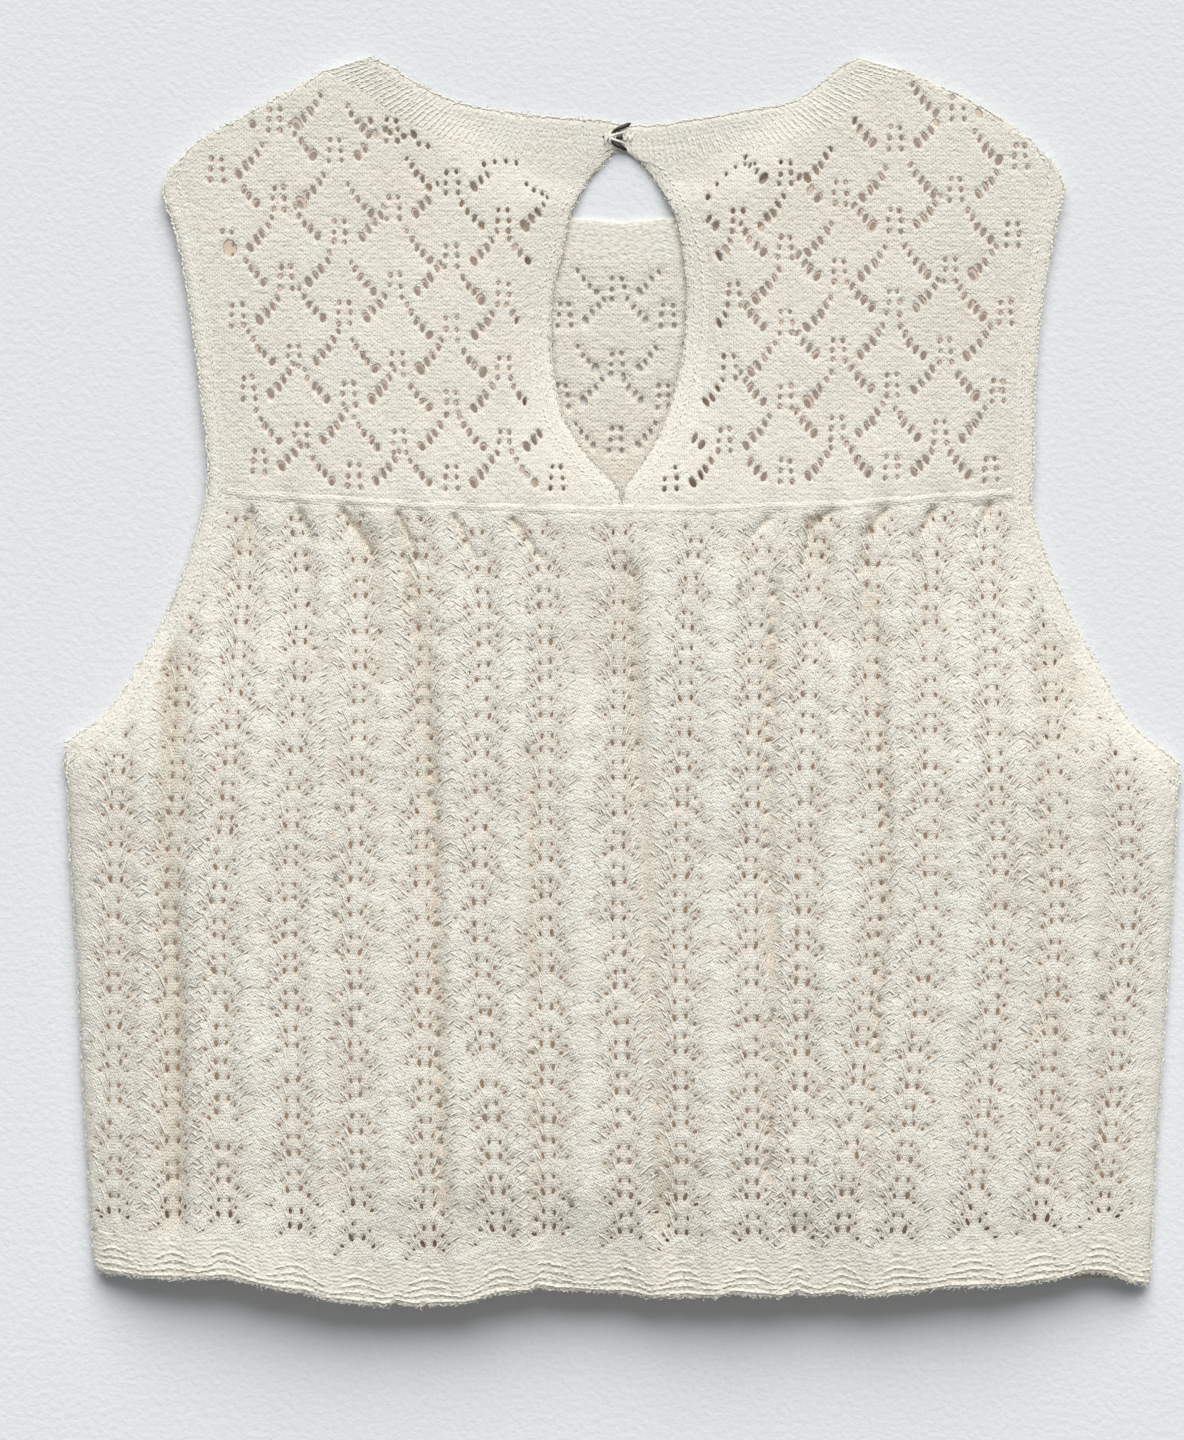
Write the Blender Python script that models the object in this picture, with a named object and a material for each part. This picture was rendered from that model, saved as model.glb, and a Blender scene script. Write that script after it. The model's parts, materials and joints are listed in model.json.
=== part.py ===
"""Sleeveless knit crop top with a lace yoke, laid flat on its front, back uppermost.

The frame is in metres, +Z up. The surface it lies on is z = 0, +Y runs from the hem to the
neck, and +X is to the right of someone who looks down at the back. Sizes below are in
millimetres and become metres in cloth() and wire().

Every cloth piece is cut from an outline in plan. Two neighbours share one seam line, and
each stops half a seam gap short of it. Front pieces lie flat on the surface. Back pieces
follow back_face(), the height of the upper face of the back: a low crown over the yoke,
a rounded body that comes down at the side seams, and folds that hang from the gathers.
"""

import math
from typing import NamedTuple

import bpy
import numpy as np
from mathutils import geometry

MM = 0.001

# Cloth
WALL = 2.0                # thickness of the knitted panels
BAND_WALL = 2.4           # thickness of the ribbed and doubled bands
SEAM_GAP = 0.3            # space left between two sewn pieces
OUTLINE_STEP = 8.0        # distance between points along an edge
PANEL_STEP = 24.0         # distance between points inside a plain panel
NORMAL_REACH = 1.0        # distance each way over which the slope of a face is taken

# Widths of the narrow pieces
NECKBAND = 15.0
NECKBAND_AT_HOOK = 9.6
NECKBAND_AT_KEYHOLE = 16.0
NECKBAND_ON_SHOULDER = 19.0   # the band meets the shoulder line at a slant
KEYHOLE_BAND = 9.0
ARMHOLE_EDGING = 7.0
EDGING_ON_SHOULDER = 9.0
HEM_BORDER = 15.5
WELT = 4.0                # the raised seam between yoke and body
WELT_RISE = 0.8           # how far the welt stands above the panels

# Yoke seam: a shallow curve that hangs lowest at the centre back
SEAM_CENTRE_Y = 65.0
SEAM_SIDE_RISE = 6.5
SEAM_SIDE_X = 145.0

# Gathers: under the welt each fold leans away from the centre
GATHER_LEAN = 6.0
GATHER_REACH = 14.0       # how far below the welt the lean dies out
FOLD_FADE = 12.0          # how far above the welt a fold still marks the armhole edging
FOLD_SAMPLES = 4          # points from one fold to the next
FOLD_LEANS_FULLY = 30.0   # distance from the centre past which a fold has its whole lean
TURNING = (1.2, 4.5, 10.0)    # places in from a side where the cloth turns down
FLAT_FROM = 13.0          # and where it has flattened again

FRONT_NECK_DROP_Y = 176.0  # lowest point of the front neck edge
FRONT_HEM_Y = -234.5      # the front hem where the back one would be straight
FRONT_HEM_TUCK = 3.0      # and how far it stops inside the back one

# Hook and eye
WIRE_RADIUS = 0.4
EYE_HEIGHT = 9.2
EYE_WIDTH = 5.0
SHANK = 8.0               # length of the hook's shank on the left band
BILL_PAST_EYE = 1.4       # how far past the eye the hook turns back
CLOSURE_Y = 208.6
CLOSURE_X = -0.6


class EdgePoint(NamedTuple):
    """A point on the same edge of the left and right side."""

    left_x: float
    left_y: float
    right_x: float
    right_y: float


SHOULDER = (
    # from the tip up to the neck
    EdgePoint(-173.0, 197.0, 165.5, 198.5),
    EdgePoint(-161.0, 208.0, 156.5, 207.5),
    EdgePoint(-146.0, 216.0, 145.0, 215.5),
    EdgePoint(-132.5, 223.5, 132.0, 223.3),
    EdgePoint(-118.5, 231.0, 114.0, 231.3),
    EdgePoint(-108.5, 238.0, 102.0, 237.3),
    EdgePoint(-103.5, 239.5, 95.5, 239.5),
    EdgePoint(-97.0, 239.0, 90.5, 238.8),
)

ARMHOLE = (
    # from the shoulder tip down to the underarm
    EdgePoint(-173.0, 197.0, 165.5, 198.5),
    EdgePoint(-176.0, 187.0, 169.5, 189.5),
    EdgePoint(-171.3, 172.0, 166.2, 173.5),
    EdgePoint(-166.5, 148.0, 161.3, 146.0),
    EdgePoint(-162.2, 115.0, 158.5, 115.0),
    EdgePoint(-159.0, 84.0, 157.9, 84.0),
    EdgePoint(-160.0, 67.0, 157.2, 67.0),
    EdgePoint(-166.0, 47.0, 162.9, 47.0),
    EdgePoint(-173.5, 28.0, 171.5, 26.0),
    EdgePoint(-185.0, 6.0, 183.3, 4.0),
    EdgePoint(-198.5, -13.0, 195.8, -17.0),
    EdgePoint(-213.5, -24.0, 213.5, -32.0),
)

SIDE_SEAM = (
    # from the underarm down to the hem
    EdgePoint(-213.5, -24.0, 213.5, -32.0),
    EdgePoint(-212.4, -60.0, 212.6, -62.0),
    EdgePoint(-209.5, -105.0, 210.2, -105.0),
    EdgePoint(-207.0, -155.0, 207.0, -155.0),
    EdgePoint(-204.5, -200.0, 204.2, -200.0),
    EdgePoint(-202.5, -226.5, 202.8, -233.0),
)

BACK_NECK = (
    # from the shoulder down to the closure
    EdgePoint(-97.0, 239.0, 90.5, 238.8),
    EdgePoint(-88.0, 235.0, 84.0, 235.3),
    EdgePoint(-76.5, 227.8, 76.0, 228.8),
    EdgePoint(-62.0, 221.6, 65.0, 222.0),
    EdgePoint(-40.0, 217.6, 45.0, 218.2),
    EdgePoint(-20.0, 215.8, 22.0, 214.4),
    EdgePoint(-10.0, 215.2, 10.0, 213.0),
    EdgePoint(0.0, 213.4, 0.0, 213.4),
)

FRONT_NECK = (
    # from the shoulder down to the lowest point
    EdgePoint(-97.0, 239.0, 90.5, 238.8),
    EdgePoint(-84.0, 221.0, 80.0, 221.0),
    EdgePoint(-64.0, 199.0, 61.0, 199.0),
    EdgePoint(-36.0, 181.5, 35.0, 181.5),
    EdgePoint(0.0, FRONT_NECK_DROP_Y, 0.0, FRONT_NECK_DROP_Y),
)

KEYHOLE = (
    # from the neckband down to the meeting of the two bands
    EdgePoint(-9.3, 200.5, 7.0, 200.5),
    EdgePoint(-13.2, 193.0, 12.8, 193.0),
    EdgePoint(-17.2, 184.5, 17.2, 184.5),
    EdgePoint(-20.8, 175.0, 20.8, 175.0),
    EdgePoint(-24.0, 164.0, 23.6, 164.0),
    EdgePoint(-26.2, 150.0, 24.8, 150.0),
    EdgePoint(-27.0, 132.0, 24.0, 132.0),
    EdgePoint(-25.5, 115.0, 21.0, 115.0),
    EdgePoint(-21.5, 100.0, 16.5, 100.0),
    EdgePoint(-13.5, 87.0, 10.0, 87.0),
    EdgePoint(-5.5, 78.5, 4.0, 78.5),
    EdgePoint(0.0, 73.0, 0.0, 73.0),
)


class Section(NamedTuple):
    """The rise of the back across one level of the garment."""

    y: float
    crown: float      # upper face above the surface, at the middle
    edge: float       # and at the armhole or side seam
    flatness: float   # how long the middle stays level: the power of the distance out
    turn: float       # 1 slopes to the edge, 0.5 comes down upright


SECTIONS = (
    Section(242.0, 5.2, 5.0, 2.5, 1.00),
    Section(213.0, 5.7, 5.0, 2.5, 1.00),
    Section(180.0, 7.2, 5.0, 2.5, 1.00),
    Section(140.0, 9.8, 5.0, 2.5, 1.00),
    Section(100.0, 12.8, 5.0, 2.5, 1.00),
    Section(66.0, 16.5, 5.0, 2.6, 0.95),
    Section(30.0, 21.0, 5.0, 2.9, 0.80),
    Section(0.0, 24.0, 5.0, 3.2, 0.65),
    Section(-33.0, 26.5, 4.0, 3.5, 0.50),
    Section(-110.0, 28.0, 3.6, 3.5, 0.50),
    Section(-180.0, 27.0, 3.6, 3.5, 0.50),
    Section(-242.0, 22.0, 3.6, 3.5, 0.50),
)


class Fold(NamedTuple):
    """A valley that runs down the back body, and the hem edge where it ends."""

    top_x: float
    middle_x: float
    hem_x: float
    top_depth: float
    middle_depth: float
    hem_depth: float
    hem_y: float


FOLD_LEVELS = (58.0, -85.0, -212.0)

FOLDS = (
    Fold(-190.0, -195.0, -195.0, 0.5, 1.6, 2.0, -228.0),
    Fold(-166.0, -173.0, -172.0, 1.0, 4.2, 3.6, -229.5),
    Fold(-143.0, -154.5, -152.0, 2.0, 1.5, 2.4, -229.0),
    Fold(-121.5, -127.5, -125.0, 2.4, 2.4, 2.6, -234.5),
    Fold(-99.0, -102.5, -101.0, 2.6, 1.6, 2.6, -238.6),
    Fold(-75.0, -76.5, -74.0, 2.6, 3.4, 3.6, -239.25),
    Fold(-52.0, -55.0, -47.0, 2.4, 2.4, 2.6, -235.0),
    Fold(-29.0, -29.5, -28.0, 1.8, 2.8, 3.0, -233.5),
    Fold(-1.0, -1.5, 1.5, 0.8, 2.6, 3.6, -234.5),
    Fold(26.0, 22.0, 22.5, 0.8, 2.8, 3.8, -236.0),
    Fold(52.0, 49.0, 50.0, 2.0, 2.4, 2.6, -235.5),
    Fold(73.0, 69.0, 67.5, 2.8, 3.0, 3.0, -236.0),
    Fold(94.5, 97.5, 84.0, 2.6, 2.6, 2.8, -234.5),
    Fold(117.5, 118.0, 105.0, 2.4, 1.8, 2.6, -235.0),
    Fold(139.0, 145.0, 134.0, 2.0, 2.2, 2.6, -232.5),
    Fold(163.0, 166.5, 160.0, 1.0, 4.0, 3.4, -230.5),
    Fold(186.0, 195.0, 184.0, 0.5, 1.8, 2.2, -227.5),
)

YARN_CREAM = (0.79, 0.765, 0.68, 1.0)
YARN_SHADED = (0.70, 0.66, 0.56, 1.0)
DARK_METAL = (0.045, 0.042, 0.038, 1.0)


# Curves in plan

def smooth_curve(points, step=OUTLINE_STEP):
    """An even run of points, at most a step apart, on a rounded curve through the given ones."""
    points = np.asarray(points, float)
    ends = np.vstack([2 * points[0] - points[1], points, 2 * points[-1] - points[-2]])
    pieces = []
    for before, start, end, after in zip(ends, ends[1:], ends[2:], ends[3:]):
        t = np.linspace(0.0, 1.0, 16, endpoint=False)[:, None]
        pieces.append(0.5 * (
            2 * start + (end - before) * t
            + (2 * before - 5 * start + 4 * end - after) * t ** 2
            + (3 * start - before - 3 * end + after) * t ** 3
        ))
    dense = np.vstack(pieces + [points[-1:]])
    return resample(dense, step)


def resample(curve, step):
    """The curve as points the same distance apart, with its two ends kept."""
    along = np.concatenate([[0.0], np.cumsum(np.linalg.norm(np.diff(curve, axis=0), axis=1))])
    count = max(2, math.ceil(along[-1] / step) + 1)
    places = np.linspace(0.0, along[-1], count)
    return np.column_stack([np.interp(places, along, curve[:, axis]) for axis in (0, 1)])


def edge(table, side, step=OUTLINE_STEP):
    """The curve through one side's columns of a table."""
    if side == "left":
        return smooth_curve([(row.left_x, row.left_y) for row in table], step)
    return smooth_curve([(row.right_x, row.right_y) for row in table], step)


def unit(vector):
    return np.asarray(vector, float) / np.linalg.norm(vector)


def inset(curve, width, towards):
    """A second edge inside the curve, square to it, on the side of the point towards."""
    along = np.gradient(curve, axis=0)
    along /= np.linalg.norm(along, axis=1)[:, None]
    across = np.column_stack([-along[:, 1], along[:, 0]])
    middle = len(curve) // 2
    if np.dot(across[middle], np.asarray(towards) - curve[middle]) < 0:
        across = -across
    return curve + across * np.broadcast_to(width, len(curve))[:, None]


def stretch(curve, start, end):
    """The part of a curve between two distances along it, with both ends cut exactly."""
    along = np.concatenate([[0.0], np.cumsum(np.linalg.norm(np.diff(curve, axis=0), axis=1))])
    places = np.concatenate([[start], along[(along > start + 1) & (along < end - 1)], [end]])
    return np.column_stack([np.interp(places, along, curve[:, axis]) for axis in (0, 1)])


def length(curve):
    return float(np.linalg.norm(np.diff(curve, axis=0), axis=1).sum())


def x_on(line, y):
    """Where a line that runs down the garment crosses a level."""
    return np.interp(y, line[::-1, 1], line[::-1, 0])


def seam_y(x):
    """Level of the yoke seam at a distance from the centre back."""
    return SEAM_CENTRE_Y + SEAM_SIDE_RISE * (np.asarray(x) / SEAM_SIDE_X) ** 2


def seam_line(start_x, end_x, shift=0.0, step=OUTLINE_STEP):
    """The yoke seam between two places, or a line beside it."""
    count = max(2, math.ceil(abs(end_x - start_x) / step) + 1)
    x = np.linspace(start_x, end_x, count)
    return np.column_stack([x, seam_y(x) + shift])


def cut_at_seam(curve, shift, keep):
    """The part of a downward curve above or below the yoke seam, cut exactly on it."""
    return cut_at_level(curve, seam_y(curve[:, 0]) + shift, keep)


def cut_at_level(curve, level, keep):
    """The part of a downward curve above or below a level, given at each of its points."""
    height = curve[:, 1] - level
    above = np.nonzero(height > 0)[0]
    if len(above) == 0:
        return curve
    last = int(above[-1])
    share = height[last] / (height[last] - height[last + 1])
    crossing = curve[last] + share * (curve[last + 1] - curve[last])
    if keep == "above":
        return np.vstack([curve[:last + 1], crossing])
    return np.vstack([crossing, curve[last + 1:]])


# Shape of the back

LEFT_SIDE = np.vstack([edge(ARMHOLE, "left"), edge(SIDE_SEAM, "left")[1:]])
RIGHT_SIDE = np.vstack([edge(ARMHOLE, "right"), edge(SIDE_SEAM, "right")[1:]])


def section_at(y, column):
    """A column of SECTIONS at any level."""
    rows = SECTIONS[::-1]
    return np.interp(y, [row.y for row in rows], [getattr(row, column) for row in rows])


def fold_places(y, names):
    """Where each fold lies at a level, or how deep it is: a row for each fold."""
    levels = FOLD_LEVELS[::-1]
    return np.array([
        np.interp(y, levels, [getattr(fold, name) for name in reversed(names)]) for fold in FOLDS
    ])


def fold_lines(y):
    """The x of every fold at one level, leaning out under the gathers."""
    x = fold_places(y, ("top_x", "middle_x", "hem_x"))
    below = np.maximum(seam_y(x) - WELT / 2 - y, 0.0)
    lean = GATHER_LEAN * np.exp(-below / GATHER_REACH)
    return x + np.sign(x) * lean * np.minimum(abs(x) / FOLD_LEANS_FULLY, 1.0)


def fold_drop(x, y):
    """How far the folds lower the back at a point of the body, dying out above the welt."""
    above = max(y - (float(seam_y(x)) - WELT / 2), 0.0)
    fade = max(1 - above / FOLD_FADE, 0.0) ** 2
    lines = fold_lines(y)
    depths = fold_places(y, ("top_depth", "middle_depth", "hem_depth"))
    lines = np.concatenate([[2 * lines[0] - lines[1]], lines, [2 * lines[-1] - lines[-2]]])
    depths = np.concatenate([[0.0], depths, [0.0]])
    at = int(np.clip(np.searchsorted(lines, x) - 1, 0, len(lines) - 2))
    share = (x - lines[at]) / (lines[at + 1] - lines[at])
    depth = depths[at] + (depths[at + 1] - depths[at]) * share
    return float(fade * depth * (0.5 + 0.5 * math.cos(2 * math.pi * share)))


def outward(x, y):
    """Distance from the middle of the back to its edge, from 0 to 1."""
    left = x_on(LEFT_SIDE, y)
    right = x_on(RIGHT_SIDE, y)
    middle = (left + right) / 2
    half = (right - left) / 2
    return min(abs(x - middle) / half, 1.0)


def back_face(x, y):
    """Height of the upper face of the back above the surface, without its folds."""
    out = outward(x, y)
    bulge = (1 - out ** section_at(y, "flatness")) ** section_at(y, "turn")
    low = section_at(y, "edge")
    high = section_at(y, "crown")
    return float(low + (high - low) * bulge)


def folded_face(x, y):
    """The same height with the folds of the body, which die out at the sides."""
    return back_face(x, y) - fold_drop(x, y) * (1 - outward(x, y) ** 12)


def front_face(x, y):
    """The front lies flat, so its upper face is one wall above the surface."""
    return WALL


# Building

def material(name, colour, roughness, metallic=0.0):
    made = bpy.data.materials.new(name)
    made.use_nodes = True
    shader = made.node_tree.nodes["Principled BSDF"]
    shader.inputs["Base Color"].default_value = colour
    shader.inputs["Roughness"].default_value = roughness
    shader.inputs["Metallic"].default_value = metallic
    made.diffuse_color = colour
    return made


def shrink(outline, amount):
    """A closed outline drawn in by an amount, wherever it turns."""
    before = outline - np.roll(outline, 1, axis=0)
    after = np.roll(outline, -1, axis=0) - outline
    before /= np.linalg.norm(before, axis=1)[:, None]
    after /= np.linalg.norm(after, axis=1)[:, None]
    square_before = np.column_stack([-before[:, 1], before[:, 0]])
    square_after = np.column_stack([-after[:, 1], after[:, 0]])
    mitre = square_before + square_after
    mitre /= (1 + (square_before * square_after).sum(axis=1))[:, None]
    turn_area = np.sum(outline[:, 0] * np.roll(outline[:, 1], -1)
                       - outline[:, 1] * np.roll(outline[:, 0], -1))
    return outline + mitre * (amount if turn_area > 0 else -amount)


def closed_outline(*curves):
    """Curves joined end to end into one loop, with the repeated corners dropped."""
    points = np.vstack(curves)
    apart = np.linalg.norm(points - np.roll(points, 1, axis=0), axis=1)
    return points[apart > 0.5]


def inside(outline, x, y, margin):
    """Whether a point lies within an outline and further than a margin from its edge."""
    ahead = np.roll(outline, -1, axis=0)
    crosses = (outline[:, 1] > y) != (ahead[:, 1] > y)
    rise = np.where(crosses, ahead[:, 1] - outline[:, 1], 1.0)
    where = outline[:, 0] + (y - outline[:, 1]) * (ahead[:, 0] - outline[:, 0]) / rise
    if np.count_nonzero(crosses & (x < where)) % 2 == 0:
        return False
    run = ahead - outline
    share = ((np.array([x, y]) - outline) * run).sum(axis=1) / (run ** 2).sum(axis=1)
    nearest = outline + run * np.clip(share, 0, 1)[:, None]
    return np.linalg.norm(nearest - (x, y), axis=1).min() > margin


def plain_grid(outline, step=PANEL_STEP):
    """Evenly spread points inside a panel."""
    low = outline.min(axis=0)
    high = outline.max(axis=0)
    counts = np.maximum(np.ceil((high - low) / step).astype(int), 1)
    return [
        (x, y)
        for y in np.linspace(low[1], high[1], counts[1] + 1)
        for x in np.linspace(low[0], high[0], counts[0] + 1)
        if inside(outline, x, y, step * 0.35)
    ]


def upward(face, x, y):
    """The direction square to a face."""
    reach = NORMAL_REACH
    slope_x = (face(x + reach, y) - face(x - reach, y)) / (2 * reach)
    slope_y = (face(x, y + reach) - face(x, y - reach)) / (2 * reach)
    return unit((-slope_x, -slope_y, 1.0))


def cloth(name, finish, outline, face=back_face, wall=WALL, rise=0.0, within=()):
    """One cloth piece: a wall of even thickness under a face, cut to an outline.

    rise lifts the upper face of a band above the panels, and within lists the points
    inside the outline that carry its shape.
    """
    outline = shrink(outline, SEAM_GAP / 2)
    points = [tuple(point) for point in outline] + [tuple(point) for point in within]
    loop = [(i, (i + 1) % len(outline)) for i in range(len(outline))]
    plan, _, triangles, *_ = geometry.delaunay_2d_cdt(points, loop, [], 1, 1e-5)
    upper = []
    lower = []
    for x, y in plan:
        normal = upward(face, x, y)
        on_face = np.array([x, y, face(x, y)])
        upper.append(on_face + rise * normal)
        lower.append(on_face + (rise - wall) * normal)
    triangles = [turned_up(plan, triangle) for triangle in triangles]
    count = len(plan)
    faces = [tuple(triangle) for triangle in triangles]
    faces += [tuple(count + i for i in reversed(triangle)) for triangle in triangles]
    for start, end in open_edges(triangles):
        faces.append((start, start + count, end + count, end))
    vertices = np.array(upper + lower) * MM
    mesh = bpy.data.meshes.new(name)
    mesh.from_pydata(vertices.tolist(), [], faces)
    mesh.update()
    mesh.materials.append(finish)
    mesh.shade_smooth()
    mesh.set_sharp_from_angle(angle=math.radians(50))
    made = bpy.data.objects.new(name, mesh)
    bpy.context.scene.collection.objects.link(made)
    return made


def turned_up(plan, triangle):
    """A triangle of the plan listed so that it faces up."""
    a, b, c = (plan[i] for i in triangle)
    return list(triangle) if (b - a).cross(c - a) > 0 else list(reversed(triangle))


def open_edges(triangles):
    """The edges of a sheet that only one triangle uses, in that triangle's direction."""
    used = {}
    for triangle in triangles:
        for start, end in zip(triangle, triangle[1:] + triangle[:1]):
            used[(start, end)] = True
    return [(start, end) for start, end in used if (end, start) not in used]


def wire(name, finish, points, closed=False):
    """A bent wire through its points, as a curve with a round bevel."""
    curve = bpy.data.curves.new(name, "CURVE")
    curve.dimensions = "3D"
    curve.bevel_depth = WIRE_RADIUS * MM
    curve.bevel_resolution = 2
    curve.use_fill_caps = not closed
    spline = curve.splines.new("POLY")
    spline.points.add(len(points) - 1)
    spline.use_cyclic_u = closed
    for place, point in zip(spline.points, points):
        place.co = (*(np.asarray(point) * MM), 1.0)
    curve.materials.append(finish)
    made = bpy.data.objects.new(name, curve)
    bpy.context.scene.collection.objects.link(made)
    return made


# Pieces

SIDES = ("left", "right")
YOKE_CENTRE = (0.0, 100.0)
BODY_CENTRE = (0.0, 0.0)
SHOULDER_BLADE = {"left": (-200.0, 130.0), "right": (200.0, 130.0)}


def shoulder_parts(side):
    """The shoulder line cut in three: under the armhole edging, the yoke and the neckband."""
    line = edge(SHOULDER, side)
    whole = length(line)
    neck_start = whole - NECKBAND_ON_SHOULDER
    return (
        stretch(line, 0.0, EDGING_ON_SHOULDER),
        stretch(line, EDGING_ON_SHOULDER, neck_start),
        stretch(line, neck_start, whole),
    )


def armhole_edges(side):
    """The armhole and the inner edge of its edging, both from the shoulder down."""
    outer = edge(ARMHOLE, side)
    inner = inset(outer, ARMHOLE_EDGING, YOKE_CENTRE)
    inner[0] = shoulder_parts(side)[0][-1]
    slope = unit(outer[-1] - outer[-2])
    inner[-1] = outer[-1] + (0.0, -ARMHOLE_EDGING / abs(slope[0]))
    return outer, inner


def neckband_edges(table, side, widths):
    """A neck edge and the lower edge of its band, both from the shoulder to the centre."""
    outer = edge(table, side)
    inner = inset(outer, widths(outer), BODY_CENTRE)
    inner[0] = shoulder_parts(side)[2][0]
    inner[-1] = outer[-1] + (0.0, -widths(outer)[-1])
    return outer, inner


def back_neckband_width(curve):
    """The band narrows where the keyhole reaches up to the closure."""
    from_centre = (0.0, 5.0, 9.0, 13.0, 22.0)
    widths = (
        NECKBAND_AT_HOOK,
        NECKBAND_AT_HOOK + 1.0,
        NECKBAND_AT_KEYHOLE - 1.5,
        NECKBAND_AT_KEYHOLE,
        NECKBAND,
    )
    return np.interp(abs(curve[:, 0]), from_centre, widths)


def front_neckband_width(curve):
    return np.full(len(curve), NECKBAND)


def neckband_level(side, x):
    """The lower edge of the back neckband at a distance from the centre back."""
    _, inner = neckband_edges(BACK_NECK, side, back_neckband_width)
    return np.interp(abs(x), abs(inner[::-1, 0]), inner[::-1, 1])


def under_neckband(side, start_x, end_x):
    """The lower edge of the back neckband between two places."""
    places = np.linspace(start_x, end_x, 4)
    return np.column_stack([places, neckband_level(side, places)])


def below_neckband(side, curve):
    """The part of a downward curve that lies below the back neckband, cut on its edge."""
    return cut_at_level(curve, neckband_level(side, curve[:, 0]), "below")


def keyhole_edges(side):
    """The keyhole and the outer edge of its band, both from the neckband down to the seam."""
    opening = edge(KEYHOLE, side)
    outer = inset(opening, KEYHOLE_BAND, SHOULDER_BLADE[side])
    outer = outer[outer[:, 1] > seam_y(outer[:, 0]) + WELT / 2 + 1.0]
    foot = seam_line(outer[-1, 0], outer[-1, 0], WELT / 2)[:1]
    return below_neckband(side, opening), below_neckband(side, np.vstack([outer, foot]))


def back_yoke(side, finish):
    """One half of the lace yoke, from the keyhole band out to the armhole edging."""
    _, armhole = armhole_edges(side)
    _, neck = neckband_edges(BACK_NECK, side, back_neckband_width)
    _, keyhole = keyhole_edges(side)
    _, shoulder, _ = shoulder_parts(side)
    neck = neck[abs(neck[:, 0]) > abs(keyhole[0, 0]) + 2.0]
    above_seam = cut_at_seam(armhole, WELT / 2, "above")
    seam = seam_line(keyhole[-1, 0], above_seam[-1, 0], WELT / 2)
    outline = closed_outline(above_seam[::-1], shoulder[1:], neck[1:], keyhole, seam[1:-1])
    return cloth(f"back_yoke_{side}", finish, outline, within=plain_grid(outline))


def back_neckband(side, finish):
    outer, inner = neckband_edges(BACK_NECK, side, back_neckband_width)
    _, _, shoulder = shoulder_parts(side)
    outline = closed_outline(outer, inner[::-1], shoulder[1:-1])
    return cloth(f"back_neckband_{side}", finish, outline, wall=BAND_WALL)


def keyhole_band(side, finish):
    """The plain band beside the keyhole, whose foot runs into the yoke seam."""
    opening, outer = keyhole_edges(side)
    foot = seam_line(0.0, outer[-1, 0], WELT / 2)
    top = under_neckband(side, outer[0, 0], opening[0, 0])
    outline = closed_outline(opening, foot[:-1], outer[::-1], top[1:-1])
    return cloth(f"keyhole_band_{side}", finish, outline, wall=BAND_WALL)


def armhole_edging(side, layer, finish):
    outer, inner = armhole_edges(side)
    shoulder, _, _ = shoulder_parts(side)
    outline = closed_outline(outer, inner[::-1], shoulder[1:-1][::-1])
    name = f"{layer}_armhole_edging_{side}"
    if layer == "front":
        return cloth(name, finish, outline, face=front_face)
    return cloth(name, finish, outline, face=folded_face, wall=BAND_WALL)


def seam_welt(finish):
    """The raised ridge where the body is gathered into the yoke."""
    ends = []
    for side in SIDES:
        _, inner = armhole_edges(side)
        ends.append([cut_at_seam(inner, shift, "above")[-1, 0] for shift in (WELT / 2, -WELT / 2)])
    upper = seam_line(ends[0][0], ends[1][0], WELT / 2)
    lower = seam_line(ends[1][1], ends[0][1], -WELT / 2)
    outline = closed_outline(upper, lower)
    return cloth("yoke_seam_welt", finish, outline, wall=WALL + WELT_RISE, rise=WELT_RISE)


def hem_edge():
    """The lower edge of the back: a point at each fold and a fuller one between."""
    points = [(SIDE_SEAM[-1].left_x, SIDE_SEAM[-1].left_y)]
    points += [(fold.hem_x, fold.hem_y) for fold in FOLDS]
    points.append((SIDE_SEAM[-1].right_x, SIDE_SEAM[-1].right_y))
    return smooth_curve(points, OUTLINE_STEP / 1.3)


def side_below(side, from_y, to_y):
    """The side seam between two levels, from the top down."""
    line = edge(SIDE_SEAM, side, OUTLINE_STEP * 2)
    between = line[(line[:, 1] < from_y - 4) & (line[:, 1] > to_y + 4)]
    return np.vstack([[(x_on(line, from_y), from_y)], between, [(x_on(line, to_y), to_y)]])


def body_outline(hem_top, seam_shift):
    """The body from the yoke seam to the top of its hem border, going round to the left."""
    edges = {}
    for side in SIDES:
        _, inner = armhole_edges(side)
        below = cut_at_seam(inner, seam_shift, "below")
        hem_side = hem_top[0] if side == "left" else hem_top[-1]
        edges[side] = np.vstack([below, side_below(side, below[-1, 1], hem_side[1])[1:]])
    seam = seam_line(edges["right"][0, 0], edges["left"][0, 0], seam_shift)
    return closed_outline(edges["left"], hem_top[1:-1], edges["right"][::-1], seam[1:-1])


def with_ends_on_sides(curve):
    """A curve across the body with its ends moved onto the side seams."""
    for index, side in ((0, "left"), (-1, "right")):
        curve[index, 0] = x_on(edge(SIDE_SEAM, side), curve[index, 1])
    return curve


def top_of_border(lower_edge):
    """The upper edge of a hem border, its ends on the side seams."""
    return with_ends_on_sides(lower_edge + (0.0, HEM_BORDER))


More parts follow.
